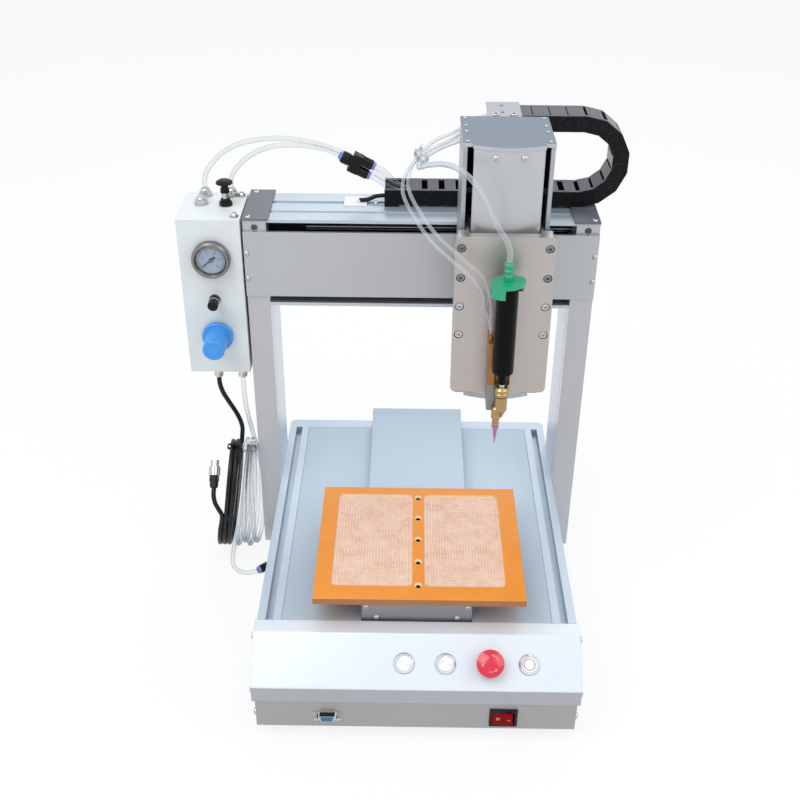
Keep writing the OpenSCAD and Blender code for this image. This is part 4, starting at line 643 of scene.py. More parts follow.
for name, x in button_x.items():
    dress(spun_steel(on_slope(x)), name)
dress(steel("polished_stainless_steel", "#dcdee0", 0.14), "panel_bezels")
dress(moulded("moulded_red_abs", "#dc1c36", 0.2, 1.5, 0.1, 0.5), "estop_head")
# Black moulding for the rocker bezel, also used as painted shade inside the socket shell and the gauge
# bezel.
black_bezel_and_shade = moulded("moulded_black_bezel_and_painted_shade", "#131415", 0.4, sheen=0.25)
dress(black_bezel_and_shade, "rocker_bezel")
dress(moulded("moulded_red_polycarbonate", "#8a0504", 0.4, 1.2, 0.15, 0.0, 0.06), "rocker")
dress(steel("nickel_plated_steel", "#c9c7c3", 0.2), "dsub_socket")
port_at = Vector((-98, -240, 34.5))
shell_deep = 4
shell_half = 10
# The inner walls of the socket's metal shell get the black finish: painted shade inside the recess.
reface("dsub_socket", black_bezel_and_shade, lambda at, out: at.y < port_at.y + shell_deep and out.y > -0.5
       and abs(at.x - port_at.x) < shell_half)


def flat(mesh, outline, at, right, up, high):
    """A thin plate: an outline in its own plane, raised from a spot on a surface."""
    out = right.cross(up)
    points = [at + right * x + up * y for x, y in outline]
    low, top = [[mesh.verts.new(p + out * h) for p in points] for h in (-high, high)]
    mesh.faces.new(top)
    mesh.faces.new(low[::-1])
    for k in range(len(outline)):
        mesh.faces.new([low[k - 1], low[k], top[k], top[k - 1]])


def oblong(wide, tall):
    """The outline of a rectangle round its middle."""
    return [(x * wide / 2, y * tall / 2) for x, y in ((-1, -1), (1, -1), (1, 1), (-1, 1))]


def meet(node, point, ahead):
    """Where a ray meets a CAD piece, in millimetres, and the normal there."""
    data = nodes[node].data
    skin = BVHTree.FromPolygons([v.co for v in data.vertices], [f.vertices for f in data.polygons])
    spot, normal = skin.ray_cast(Vector(point) * mm, Vector(ahead))[:2]
    return spot / mm, normal


ink_high = 0.06
ring_x, bar_x = 91, 103
rocker_mid = 35.5
before_panel = -260
ring_sign = [(1.3, -ink_high), (1.9, -ink_high), (1.9, ink_high), (1.3, ink_high), (1.3, -ink_high)]
bar_sign = oblong(3, 0.7)
mesh = bmesh.new()
spot, normal = meet("rocker", (ring_x, before_panel, rocker_mid), (0, 1, 0))
turned(mesh, ring_sign, spot, normal)
spot, normal = meet("rocker", (bar_x, before_panel, rocker_mid), (0, 1, 0))
bar_right = normal.cross(Vector((0, 0, -1))).normalized()
flat(mesh, bar_sign, spot, bar_right, Vector((0, 0, 1)), ink_high)
piece("rocker_marks", mesh, moulded("white_ink", "#e2c8c4", 0.5), "rocker")

estop_x = 80
above_stop = 60
arrow_r = 9
arrow_first, arrow_step = 15, 9
line_half, barb_half = 0.5, 1.6
barb_from, arrow_last = 6, 8
mesh = bmesh.new()
for third in range(3):
    rows = []
    for k in range(arrow_last + 1):
        a = math.radians(120 * third + arrow_first + arrow_step * k)
        way = Vector((math.cos(a), 0, 0)) + slope_up * math.sin(a)
        wide = line_half if k < barb_from else barb_half * (arrow_last - k) / 2 + 0.02
        row = []
        for reach in (arrow_r - wide, arrow_r + wide):
            spot, normal = meet("estop_head", on_slope(estop_x, above_stop) + way * reach, -slope_out)
            row += [mesh.verts.new(spot - normal * 0.1), mesh.verts.new(spot + normal * ink_high)]
        rows.append(row)
    for low, high in zip(rows, rows[1:]):
        for p, q in ((0, 1), (1, 3), (3, 2), (2, 0)):
            mesh.faces.new([low[p], low[q], high[q], high[p]])
    mesh.faces.new([rows[0][k] for k in (0, 1, 3, 2)])
    mesh.faces.new([rows[-1][k] for k in (2, 3, 1, 0)])
piece("stop_arrows", mesh, moulded("pale_red_ink", "#ee8a96", 0.4), "estop")

button_high = 3.2
bezel_high = 2
lamp_ring = [(5.4, -0.2), (6.4, -0.2), (6.4, 0.15), (6.2, 0.3), (5.6, 0.3), (5.4, 0.15), (5.4, -0.2)]
button_rim = [(8.7, -0.1), (10.9, -0.1), (10.6, 0.15), (9.7, 0.75), (9.0, 0.75), (8.7, 0.4), (8.7, -0.1)]
gasket_and_shade_ring = [(10.6, -0.3), (11.3, -0.3), (11.3, 0.2), (11.1, 0.4), (10.6, 0.4), (10.6, -0.3)]
screws("start_lamp_ring", "button_start", [on_slope(button_x["button_start"], button_high)], slope_out,
       lamp_ring, moulded("frosted_polycarbonate", "#8f9498", 0.35), sharp=40)
screws("button_rims", "base", [on_slope(x, bezel_high) for x in button_x.values()], slope_out, button_rim,
       steel("turned_stainless_rim", "#eff0f1", 0.2), 48, 25)
# The black gasket rings are partly a gasket and partly painted shade under the rims.
screws("button_gaskets_and_shade", "base", [on_slope(x) for x in button_x.values()], slope_out, gasket_and_shade_ring,
       black_rubber, 48, 25)

insert_high = 0.3
insert_outline = [(-7.6, 3.4), (-6.2, -3.4), (6.2, -3.4), (7.6, 3.4)]
mesh = bmesh.new()
flat(mesh, insert_outline, port_at, Vector((1, 0, 0)), Vector((0, 0, 1)), insert_high)
piece("socket_insert", mesh, moulded("moulded_blue_pbt", "#2f7fb8", 0.4), "base")
contact_pitch = 2.29
contact_hole = [(0.62, -0.2), (0.62, 0.12), (0.4, 0.2)]
contacts = [port_at + Vector((first + contact_pitch * k, -insert_high, z))
            for z, first in ((2.0, -4.6), (0, -5.7), (-2.0, -4.6)) for k in range(5)]
screws("socket_contacts", "base", contacts, (0, -1, 0), contact_hole,
       moulded("dark_contact_holes", "#10181f", 0.5), 12, 40)
post_off = 12.5
screw_post = [(2.2, -0.2), (2.2, 0.2), (1.9, 0.5), (1.2, 0.5), (1.1, -0.1)]
screws("socket_posts", "base", [port_at + Vector((s * post_off, 0, 0)) for s in (-1, 1)], (0, -1, 0),
       screw_post, zinc_steel)


# Table axis. A bed with a guide, a screw and a motor under a raised folded cover, with
# an end plate at the front and rear; the saddle's arms come out beside the cover.
dome_small = [(3.3, -1), (3.3, 0.4), (3.0, 1.1), (2.3, 1.7), (1.5, 1.9), (1.4, 1.9, 6), (1.4, 0.6, 6)]
cover_finish = blasted("blasted_axis_cover", "#acbbc7", 0.45, 0.4, 1.4, 1.2)
dress(cover_finish, "y_cover")
dress(brushed("milled_end_plate", "#999a9b", 0, 0.6, 0.4), "y_end_plates")
reface("y_end_plates", cover_finish, lambda at, out: at.y > 0)
dress(steel("ground_bearing_steel", "#a9acaf", 0.2), "guide_rails", "y_screw", "x_screw", "z_screw")
dress(blasted("extruded_axis_bed", "#b9bdc2", 0.5, 0.42), "y_bed", "y_carriage", "x_carriage")
dress(moulded("painted_motor_black", "#1b1c1e", 0.45, sheen=0.3), "axis_motors", "z_motor")
end_front = -169
end_spots = [(s * x, end_front, z) for s in (-1, 1) for x, z in ((56.5, 137), (45, 121.5))]
screws("front_plate_screws", "base", end_spots, (0, -1, 0), dome_small, zinc_steel)


# Fixture plate. Orange phenolic laminate, sawn to size, with two milled pockets that
# show the pale core and the cutter's path, and five countersunk screws.
def laminate_top():
    """Pressed laminate: an even orange satin, a little cloudy under a clear resin skin."""
    finish, tree = start("pressed_phenolic_laminate")
    place = put(tree, "ShaderNodeTexCoord")
    cloud = put(tree, "ShaderNodeTexNoise", {"Vector": place.outputs["Object"], "Scale": 1 / (40 * mm),
                "Detail": 5.0})
    fibre = put(tree, "ShaderNodeTexNoise", {"Vector": place.outputs["Object"], "Scale": 1 / (1.3 * mm),
                "Detail": 3.0})
    colour = put(tree, "ShaderNodeMix", {0: cloud.outputs[0], 6: shade("#e6851c"), 7: shade("#f09b3a")},
                 data_type="RGBA")
    gloss = put(tree, "ShaderNodeMapRange", {"Value": cloud.outputs[0], "To Min": 0.36, "To Max": 0.5})
    corner = put(tree, "ShaderNodeBevel", {"Radius": 0.6 * mm}, samples=4)
    relief = put(tree, "ShaderNodeBump", {"Height": fibre.outputs[0], "Normal": corner.outputs[0],
                 "Strength": 0.05, "Distance": 0.2 * mm})
    body = put(tree, "ShaderNodeBsdfPrincipled", {"Base Color": colour.outputs[2], "IOR": 1.5,
               "Roughness": gloss.outputs[0], "Normal": relief.outputs[0]})
    put(tree, "ShaderNodeOutputMaterial", {"Surface": body.outputs[0]})
    return finish


def laminate_edge():
    """Sawn laminate edge: brown and matt, with the paper layers as thin level lines. The
    layers are drawn 1 mm thick, coarser than real, so that they show."""
    finish, tree = start("sawn_phenolic_edge")
    place = put(tree, "ShaderNodeTexCoord")
    layers = put(tree, "ShaderNodeMapping", {"Vector": place.outputs["Object"],
                 "Scale": (1 / (60 * mm), 1 / (60 * mm), 1 / mm)})
    line = put(tree, "ShaderNodeTexNoise", {"Vector": layers.outputs[0], "Scale": 1.0, "Detail": 3.0})
    colour = put(tree, "ShaderNodeMix", {0: line.outputs[0], 6: shade("#8a5a38"), 7: shade("#c08558")},
                 data_type="RGBA")
    body = put(tree, "ShaderNodeBsdfPrincipled", {"Base Color": colour.outputs[2], "Roughness": 0.7})
    put(tree, "ShaderNodeOutputMaterial", {"Surface": body.outputs[0]})
    return finish


pocket_mid_x = 1.2
pocket_off_x = 51.95
pocket_mid_y = -74.5
pocket_half = (45.25, 84)
pocket_floor = 155.5
plate_top = 158


def milled_laminate():
    """Milled laminate: the pale pink core, matt and blotchy, with the cutter's rectangular path
    in steps of 3.4 mm, clear in some places only, and reddish scuffs where a layer broke out."""
    finish, tree = start("milled_phenolic_core")
    place = put(tree, "ShaderNodeTexCoord")
    wobble = put(tree, "ShaderNodeTexNoise", {"Vector": place.outputs["Object"], "Scale": 1 / (9 * mm),
                 "Detail": 4.0})
    axes = put(tree, "ShaderNodeSeparateXYZ", {0: place.outputs["Object"]})
    edges = []
    for out, mid, off, half in ((0, pocket_mid_x, pocket_off_x, pocket_half[0]),
                                (1, pocket_mid_y, 0, pocket_half[1])):
        away = put(tree, "ShaderNodeMath", {0: axes.outputs[out], 1: mid * mm}, operation="SUBTRACT")
        apart = put(tree, "ShaderNodeMath", {0: away.outputs[0]}, operation="ABSOLUTE")
        inner = put(tree, "ShaderNodeMath", {0: apart.outputs[0], 1: off * mm}, operation="SUBTRACT")
        middle = put(tree, "ShaderNodeMath", {0: inner.outputs[0]}, operation="ABSOLUTE")
        edges.append(put(tree, "ShaderNodeMath", {0: half * mm, 1: middle.outputs[0]},
                         operation="SUBTRACT"))
    wall = put(tree, "ShaderNodeMath", {0: edges[0].outputs[0], 1: edges[1].outputs[0]},
               operation="MINIMUM")
    path = put(tree, "ShaderNodeMath", {0: wobble.outputs[0], 1: 3.2 * mm, 2: wall.outputs[0]},
               operation="MULTIPLY_ADD")
    turns = put(tree, "ShaderNodeMath", {0: path.outputs[0], 1: math.tau / (3.4 * mm)},
                operation="MULTIPLY")
    wave = put(tree, "ShaderNodeMath", {0: turns.outputs[0]}, operation="SINE")
    stripe = put(tree, "ShaderNodeMapRange", {"Value": wave.outputs[0], "From Min": -0.2, "From Max": 1.0})
    rough = put(tree, "ShaderNodeTexNoise", {"Vector": place.outputs["Object"], "Scale": 1 / (7 * mm),
                "Detail": 6.0, "Roughness": 0.8})
    here = put(tree, "ShaderNodeMapRange", {"Value": rough.outputs[0], "From Min": 0.38, "From Max": 0.62})
    broken = put(tree, "ShaderNodeMath", {0: stripe.outputs[0], 1: here.outputs[0]}, operation="MULTIPLY")
    blotch = put(tree, "ShaderNodeTexNoise", {"Vector": place.outputs["Object"], "Scale": 1 / (22 * mm),
                 "Detail": 8.0, "Roughness": 0.72})
    mottle = put(tree, "ShaderNodeMapRange", {"Value": blotch.outputs[0], "From Min": 0.32,
                 "From Max": 0.68})
    core = put(tree, "ShaderNodeMix", {0: mottle.outputs[0], 6: shade("#d9ab90"), 7: shade("#edcbb4")},
               data_type="RGBA")
    lines = put(tree, "ShaderNodeMix", {0: broken.outputs[0], 6: core.outputs[2], 7: shade("#f5dcc8")},
                data_type="RGBA")
    scuff = put(tree, "ShaderNodeTexNoise", {"Vector": place.outputs["Object"], "Scale": 1 / (26 * mm),
                "Detail": 7.0, "Roughness": 0.78})
    patch = put(tree, "ShaderNodeMapRange", {"Value": scuff.outputs[0], "From Min": 0.56, "From Max": 0.74,
                "To Max": 0.75})
    scuffed = put(tree, "ShaderNodeMix", {0: patch.outputs[0], 6: lines.outputs[2], 7: shade("#d1977d")},
                  data_type="RGBA")
    rim = put(tree, "ShaderNodeMapRange", {"Value": wall.outputs[0], "From Min": 2.6 * mm,
              "From Max": 0.6 * mm, "To Max": 0.7})
    colour = put(tree, "ShaderNodeMix", {0: rim.outputs[0], 6: scuffed.outputs[2], 7: shade("#f6ddb4")},
                 data_type="RGBA")
    relief = put(tree, "ShaderNodeBump", {"Height": broken.outputs[0], "Strength": 0.25,
                 "Distance": 0.3 * mm})
    body = put(tree, "ShaderNodeBsdfPrincipled", {"Base Color": colour.outputs[2], "Roughness": 0.62,
               "Normal": relief.outputs[0]})
    put(tree, "ShaderNodeOutputMaterial", {"Surface": body.outputs[0]})
    return finish


edge_mid_x = 2.5
edge_half = 116
edge_front, edge_back = -170, 20
dress(laminate_top(), "fixture_plate")
reface("fixture_plate", laminate_edge(), lambda at, out: abs(out.z) < 0.5 and at.z < plate_top
       and (abs(at.x - edge_mid_x) > edge_half or at.y < edge_front or at.y > edge_back))
pale_core = milled_laminate()
sink_r = 6
sink_foot = 150
reface("fixture_plate", pale_core, lambda at, out: abs(at.x - pocket_mid_x) < sink_r
       and 0.1 < out.z < 0.95 and at.z > sink_foot)
reface("fixture_plate", pale_core, lambda at, out: pocket_floor - 1 < at.z < plate_top - 0.05
       and abs(abs(at.x - pocket_mid_x) - pocket_off_x) < pocket_half[0] + 0.5
       and abs(at.y - pocket_mid_y) < pocket_half[1] + 0.5 and out.z > -0.5)
sunk_head = [(4.3, -4.4), (4.3, -2.6), (3.9, -2.2), (2.3, -2.2, 6), (2.3, -4.2, 6)]
plate_spots = [(pocket_mid_x, y, plate_top) for y in (-157, -117, -77, -37, 3)]
screws("fixture_screws", "table", plate_spots, (0, 0, 1), sunk_head,
       steel("oiled_black_steel", "#4d4640", 0.3))


# Gantry. Two extruded uprights carry a hollow beam whose inside is painted black as shade; a bent cover
# closes its front, dark plates its ends. A white cable entry and the chain's anchor sit on its top.
dress(brushed("brushed_upright_extrusion", "#c3c4c7", 2, 0.55, 0.36), "uprights")
deck_top = 120
# The uprights' inner faces get a paler, glossier finish: a painted reflection of the white studio.
reface("uprights", blasted("painted_reflection_inner_face", "#e3e8ef", 0.3, 0.3),
       lambda at, out: out.x * at.x < 0 and abs(out.x) > 0.9 and at.z > deck_top)
dress(blasted("clear_anodised_beam", "#bfcad3", 0.5, 0.34), "x_beam")
dress(brushed("brushed_cover_sheet", "#bdbfc2", 0, 0.6, 0.36), "x_cover")
dress(blasted("grey_stove_enamel", "#696c72", 0.1, 0.45), "beam_caps")
# Near black for the insides of the beam's hollow and the head's slots: painted shade where little light
# reaches.
painted_shade_inside = moulded("painted_shade_black_inside", "#0c0d0e", 0.5, sheen=0.2)
hollow_y, hollow_z = (95.5, 160), (380, 478)
reface("x_beam", painted_shade_inside, lambda at, out: hollow_y[0] < at.y < hollow_y[1]
       and hollow_z[0] < at.z < hollow_z[1])
cover_face = 91
cover_spots = [(s * 202.5, cover_face, z) for s in (-1, 1) for z in (443, 411)]
screws("cover_screws", "base", cover_spots, (0, -1, 0), dome_small, zinc_steel)
beam_top = 484
beam_right, beam_back = Vector((1, 0, 0)), Vector((0, 1, 0))
entry_at = Vector((-77.5, 152, beam_top + 0.4))
gland_at = Vector((-74, 149, beam_top + 1.2))
gland_way = (0.9, 0.1, 0.42)
gland = [(2.6, -0.4), (4.4, -0.4), (4.4, 1.2), (3.6, 2.2), (2.6, 2.2), (2.6, -0.4)]
mesh = bmesh.new()
flat(mesh, oblong(27, 30), entry_at, beam_right, beam_back, 0.5)
turned(mesh, gland, gland_at, gland_way)
piece("cable_entry", mesh, moulded("moulded_white_insert", "#eceef0", 0.4), "base")
anchor_at = Vector((-50.25, 144, beam_top + 1))
anchor_half = 1.1
mesh = bmesh.new()
flat(mesh, oblong(13.5, 8), anchor_at, beam_right, beam_back, anchor_half)
turned(mesh, dome_small, anchor_at + Vector((-2.75, 0, anchor_half)), (0, 0, 1))
piece("chain_anchor", mesh, zinc_steel, "base", 25)
cap_top = beam_top + 2
# The screw under the chain's bend is sunk, so that the chain can roll over it.
sunk_top = cap_top - 1.6
cap_spots = [(-198, 174, cap_top), (-199, 97.5, cap_top), (201, 174, sunk_top), (199, 97.5, cap_top)]
screws("cap_screws", "base", cap_spots, (0, 0, 1), dome_small, zinc_steel)


# Head. The vertical axis: an extruded body with a bowed brushed cover, a painted cap,
# slots for the slide's arms, painted black inside as shade, and a thick tool plate on socket screws.
dress(brushed("brushed_axis_body", "#b3b7bc", 2, 0.6, 0.36), "z_body", "z_slider")
dress(brushed("brushed_bowed_cover", "#c3c5c7", 2, 0.65, 0.32), "z_cover")
dress(brushed("milled_cap_edge", "#c2c4c7", 0, 0.6, 0.34), "z_cap")
reface("z_cap", blasted("blue_grey_stove_enamel", "#606d7c", 0.2, 0.36), lambda at, out: out.z > 0.9)
dress(brushed("ground_tool_plate", "#beb8b4", 2, 0.8, 0.36), "z_plate")
dress(blasted("milled_bracket", "#9fa2a5", 0.6, 0.35), "chain_bracket")
head_x = 87.5
head_top = 610
slot_half, slot_y, slot_z = 41.5, (1, 63), (316, 605)
# The insides of the slots get near black: painted shade.
reface("z_body", painted_shade_inside, lambda at, out: abs(at.x - head_x) < slot_half
       and slot_y[0] < at.y < slot_y[1] and slot_z[0] < at.z < slot_z[1])
plate_front = -28
bore_floor = plate_front + 5
bolt_x = 46
socket_head = [(4.2, -0.4), (4.2, 3.9), (3.8, 4.4), (2.4, 4.4, 6), (2.4, 1.6, 6)]
dull_zinc = steel("dull_zinc_steel", "#8f9295", 0.3)
for label, rows, finish in (("upper", (506.5, 472.5), dull_zinc), ("lower", (438.5, 404.5), zinc_steel)):
    bores = [(head_x + s * bolt_x, bore_floor, z) for s in (-1, 1) for z in rows]
    screws("plate_screws_" + label, "tool", bores, (0, -1, 0), socket_head, finish)
pan_small = [(1.9, -0.6), (1.9, 0.5), (1.5, 0.9), (0.9, 1.0, 6), (0.9, 0.3, 6)]
rim_spots = [(head_x + s * 42.5, y, head_top) for s in (-1, 1) for y in (6, 36, 55, 80)]
screws("head_cap_screws", "head", rim_spots, (0, 0, 1), pan_small, zinc_steel)
bow_spots = [(head_x + s * 14.7, -13.4, 599) for s in (-1, 1)]
screws("head_cover_screws", "head", bow_spots, (0, -1, 0), dome_small, zinc_steel)
bracket_top = 597.5
arm_spots = [(90, y, bracket_top) for y in (164, 140)]
screws("bracket_screws", "head", arm_spots, (0, 0, 1), pan_small, dull_zinc)
foot_spots = [(x, 122, bracket_top) for x in (81, 101)]
screws("bracket_bolts", "head", foot_spots, (0, 0, 1), socket_head, zinc_steel)


# Dispenser. A gold anodised holder carries a black syringe barrel with a green adapter
# cap, a brass valve with a steel neck and a pink tapered tip.
dress(blasted("gold_anodised_holder", "#99713f", 0.7, 0.32), "syringe_holder")
dress(blasted("grey_anodised_foot", "#8f8c88", 0.5, 0.4), "holder_foot")
dress(moulded("moulded_black_polypropylene", "#08080a", 0.3, sheen=0.09), "syringe_barrel")
dress(moulded("moulded_green_nylon", "#12a273", 0.3, 0.9, 0.1, 0.3), "syringe_cap")
dress(steel("turned_brass", "#ae9266", 0.12), "valve_body")
neck_foot = 360.1
reface("valve_body", zinc_steel, lambda at, out: at.z > neck_foot)
dress(moulded("moulded_pink_polypropylene", "#b0709a", 0.3), "needle")


# Air panel. A folded steel box in off-white enamel on the left upright, with a pressure
# gauge, a knurled suck-back knob, a blue regulator knob, a hand valve and fittings.
def enamel():
    """Sprayed and baked enamel: off-white with a faint orange-peel skin."""
    finish, tree = start("sprayed_white_enamel")
    place = put(tree, "ShaderNodeTexCoord")
    peel = put(tree, "ShaderNodeTexNoise", {"Vector": place.outputs["Object"], "Scale": 1 / (2.5 * mm),
               "Detail": 1.0})
    cloud = put(tree, "ShaderNodeTexNoise", {"Vector": place.outputs["Object"], "Scale": 1 / (80 * mm)})
    colour = put(tree, "ShaderNodeMix", {0: cloud.outputs[0], 6: shade("#d9e0df"), 7: shade("#e3e8e8")},
                 data_type="RGBA")
    corner = put(tree, "ShaderNodeBevel", {"Radius": 1.2 * mm}, samples=4)
    relief = put(tree, "ShaderNodeBump", {"Height": peel.outputs[0], "Strength": 0.06, "Distance": 0.3 * mm,
                 "Normal": corner.outputs[0]})
    body = put(tree, "ShaderNodeBsdfPrincipled", {"Base Color": colour.outputs[2], "Roughness": 0.36,
               "IOR": 1.5, "Normal": relief.outputs[0]})
    put(tree, "ShaderNodeOutputMaterial", {"Surface": body.outputs[0]})
    return finish


dress(enamel(), "air_box")
dress(steel("satin_gauge_bezel", "#8b8a86", 0.3), "gauge_case")
gauge_at = Vector((-243.5, 84.5, 437))
dial_edge, dial_wall = 17.9, 19.5
dial_y = (84, 85.5)


def off_dial(at):
    """The place of a point beside the gauge's axis."""
    return Vector((at.x - gauge_at.x, 0, at.z - gauge_at.z))


reface("gauge_case", moulded("printed_white_dial", "#bbbfce", 0.4),
       lambda at, out: off_dial(at).length < dial_edge and dial_y[0] < at.y < dial_y[1] and out.y < -0.5)
# The bezel's inner wall round the dial gets the black finish: painted shade.
reface("gauge_case", black_bezel_and_shade, lambda at, out: off_dial(at).length < dial_wall
       and abs(out.y) < 0.3 and out.dot(off_dial(at)) < 0)
black_ink = moulded("black_ink", "#131416", 0.5, sheen=0.2)
dress(black_ink, "gauge_pointer")
dial_zero = 220
dial_sweep = 265
mark_end = 15.6
mark_wide, mark_high = 0.56, 0.04
figure_r = 10
figure_high = 0.06


def dial_way(share):
    """The direction from the middle of the dial to a share of its scale."""
    a = math.radians(dial_zero - dial_sweep * share)
    return Vector((math.cos(a), 0, math.sin(a)))


mesh = bmesh.new()
for k in range(51):
    out = dial_way(k / 50)
    long = 3.4 if k % 10 == 0 else 2.4 if k % 5 == 0 else 1.5
    flat(mesh, oblong(mark_wide, long), gauge_at + out * (mark_end - long / 2),
         out.cross(Vector((0, 1, 0))), out, mark_high)
for k in range(6):
    figure = bpy.data.curves.new("figure", "FONT")
    figure.body = str(2 * k)
    figure.size = 4.3
    figure.align_x = figure.align_y = "CENTER"
    holder = bpy.data.objects.new("figure", figure)
    scene.collection.objects.link(holder)
    bpy.context.view_layer.update()
    letter = bpy.data.meshes.new_from_object(holder.evaluated_get(bpy.context.evaluated_depsgraph_get()))
    spot = gauge_at + dial_way(k / 5) * figure_r - Vector((0, figure_high, 0))
    letter.transform(Matrix.Translation(spot) @ Matrix.Rotation(math.pi / 2, 4, "X"))
    mesh.from_mesh(letter)
    bpy.data.objects.remove(holder)
piece("dial_marks", mesh, moulded("grey_ink", "#12161d", 0.5, sheen=0.2), "base")


def glass():
    """Pressed window glass: clear, with a soft reflection of the studio."""
    finish, tree = start("pressed_window_glass")
    place = put(tree, "ShaderNodeTexCoord")
    wavy = put(tree, "ShaderNodeTexNoise", {"Vector": place.outputs["Object"], "Scale": 1 / (25 * mm)})
    dust = put(tree, "ShaderNodeMapRange", {"Value": wavy.outputs[0], "To Min": 0.03, "To Max": 0.09})
    shine = put(tree, "ShaderNodeBsdfGlossy", {"Color": (1, 1, 1, 1), "Roughness": 0.08})
    clear = put(tree, "ShaderNodeBsdfTransparent", {"Color": shade("#f3f7fa")})
    both = put(tree, "ShaderNodeMixShader", {0: dust.outputs[0], 1: clear.outputs[0], 2: shine.outputs[0]})
    put(tree, "ShaderNodeOutputMaterial", {"Surface": both.outputs[0]})
    return finish


glass_at = gauge_at - Vector((0, 2.5, 0))
window = [(17.7, 0), (17.7, 0.7), (16.8, 1.0), (9, 1.25), (0.4, 1.35)]
screws("gauge_window", "base", [glass_at], (0, -1, 0), window, glass(), 64)
# A black ring round the dial: partly a gasket, partly painted shade inside the bezel.
seal_and_shade = [(16.5, -0.2), (17.8, -0.2), (17.8, 1.2), (17.2, 1.2), (16.5, 0.3), (16.5, -0.2)]
screws("dial_gasket_and_shade", "base", [gauge_at], (0, -1, 0), seal_and_shade, black_ink, 64)

nickel = steel("nickel_plated_brass", "#d0d0cd", 0.18)
knob_black = moulded("moulded_black_knob", "#0f1011", 0.36, sheen=0.22)
dress(nickel, "box_fittings", "power_plug")
box_top = 484
hand_at = Vector((-229.5, 136, box_top))
nut_high, nut_r = 1.6, 8
reface("box_fittings", knob_black, lambda at, out: at.z > hand_at.z + nut_high
       and (at - hand_at).xy.length < nut_r)
plug_end = 72
reface("power_plug", black_jacket, lambda at, out: at.y < plug_end)
dress(knob_black, "suckback_knob", "hand_valve", "hose_connector", "air_fitting")
dress(moulded("moulded_blue_acetal", "#3f98e8", 0.34, 1.0, 0.06), "regulator_knob")
collar_y = (76.6, 78.8)
suckback_z = 384
suckback_r = 6
reface("suckback_knob", nickel, lambda at, out: collar_y[0] < at.y < collar_y[1]
       and math.hypot(at.x - gauge_at.x, at.z - suckback_z) > suckback_r)
valve_foot = 500.3
reface("hand_valve", nickel, lambda at, out: at.z < valve_foot)
bolt_head = [(5.4, -0.3), (5.4, 0.8), (3.9, 0.8, 6), (3.9, 3.6, 6), (3.3, 4.2, 6), (2.4, 4.2), (2.2, 5.6)]
screws("box_bolts", "base", [(-214.5, 165, box_top), (-215, 102, box_top)], (0, 0, 1), bolt_head, nickel)


# Drag chain. Snapped-together black nylon links. Its lower run lies on the beam and its
# upper run hangs from the head, and the chain bends round between the two; both runs are copies of the CAD
# runs as they stand.
def chain_nylon(name, dark, light, roughness, sheen):
    """Moulded glass-filled nylon: near black and satin, its edges lighter grey, partly wear from the links
    and partly a painted highlight.
    """
    finish, tree = start(name)
    place = put(tree, "ShaderNodeTexCoord")
    speck = put(tree, "ShaderNodeTexNoise", {"Vector": place.outputs["Object"], "Scale": 1 / (3 * mm),
                "Detail": 4.0})
    form = put(tree, "ShaderNodeNewGeometry")
    corner = put(tree, "ShaderNodeBevel", {"Radius": 0.7 * mm}, samples=4)
    same = put(tree, "ShaderNodeVectorMath", {0: form.outputs["Normal"], 1: corner.outputs[0]},
               operation="DOT_PRODUCT")
    # Edges lightened grey: partly wear, partly painted highlight.
    wear_and_highlight = put(tree, "ShaderNodeMapRange", {"Value": same.outputs["Value"], "From Min": 0.995,
              "From Max": 0.86, "To Max": 0.8})
    base = put(tree, "ShaderNodeMix", {0: speck.outputs[0], 6: shade(dark), 7: shade(light)},
               data_type="RGBA")
    colour = put(tree, "ShaderNodeMix", {0: wear_and_highlight.outputs[0], 6: base.outputs[2], 7: shade("#4c4f55")},
                 data_type="RGBA")
    body = put(tree, "ShaderNodeBsdfPrincipled", {"Base Color": colour.outputs[2], "Roughness": roughness,
               "IOR": 1.5, "Specular IOR Level": sheen, "Normal": corner.outputs[0]})
    put(tree, "ShaderNodeOutputMaterial", {"Surface": body.outputs[0]})
    return finish


chain_sides = chain_nylon("textured_chain_nylon", "#08090a", "#131417", 0.5, 0.16)
# The lids get a lighter, glossier copy of the sides' nylon: painted reflection of the bright ceiling.
chain_lids = chain_nylon("painted_sheen_chain_lids", "#202329", "#2f333a", 0.25, 0.5)
chain_first = -43
chain_bend_x = 184
chain_last = 104
chain_nodes = ("chain_fixed", "chain_bend", "chain_moving")
dress(chain_sides, *chain_nodes)
# Lid faces take the lighter copy: painted reflection.
for name in chain_nodes:
    reface(name, chain_lids, lambda at, out: abs(out.y) < 0.3)
for name, node, start_x, end_x in (
        ("chain_lower_run", "chain_fixed", chain_first, 2 * chain_bend_x - chain_first),
        ("chain_upper_run", "chain_moving", 2 * chain_bend_x - chain_last, chain_last)):
    run = bpy.data.objects.new(name, nodes[node].data.copy())
    scene.collection.objects.link(run)
    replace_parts(run, node)
    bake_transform(run)


# Feed hoses. Clear tubes from the panel's fittings, over the beam and through a black
# splitter with bosses and blue release rings into the chain; the motor cable joins there.
feed_routes = {
    "feed_hose_rear": [(-258, 166, 10), (-258, 166, 20), (-251, 164, 36), (-232, 161, 56), (-209, 159, 68),
                       (-176, 158, 74), (-143, 160, 72), (-120, 165, 65), (-92, 168, 54), (-62, 167, 36),
                       (-36, 164, 19), (-14, 162, 13)],
    "feed_hose_front": [(-226.5, 166, 10), (-226.5, 166, 20), (-218, 164, 36), (-200, 160, 53),
                        (-176, 155, 65), (-148, 151, 69), (-124, 150, 67), (-108, 150, 63.5),
                        (-92.9, 150, 56.6)],
    "feed_branch_upper": [(-58, 150, 46), (-44, 150, 39), (-30, 153, 24), (-14, 155, 14)],
    "feed_branch_lower": [(-63.8, 150, 34.6), (-51, 150, 28), (-36, 149, 18), (-14, 148, 13)]}
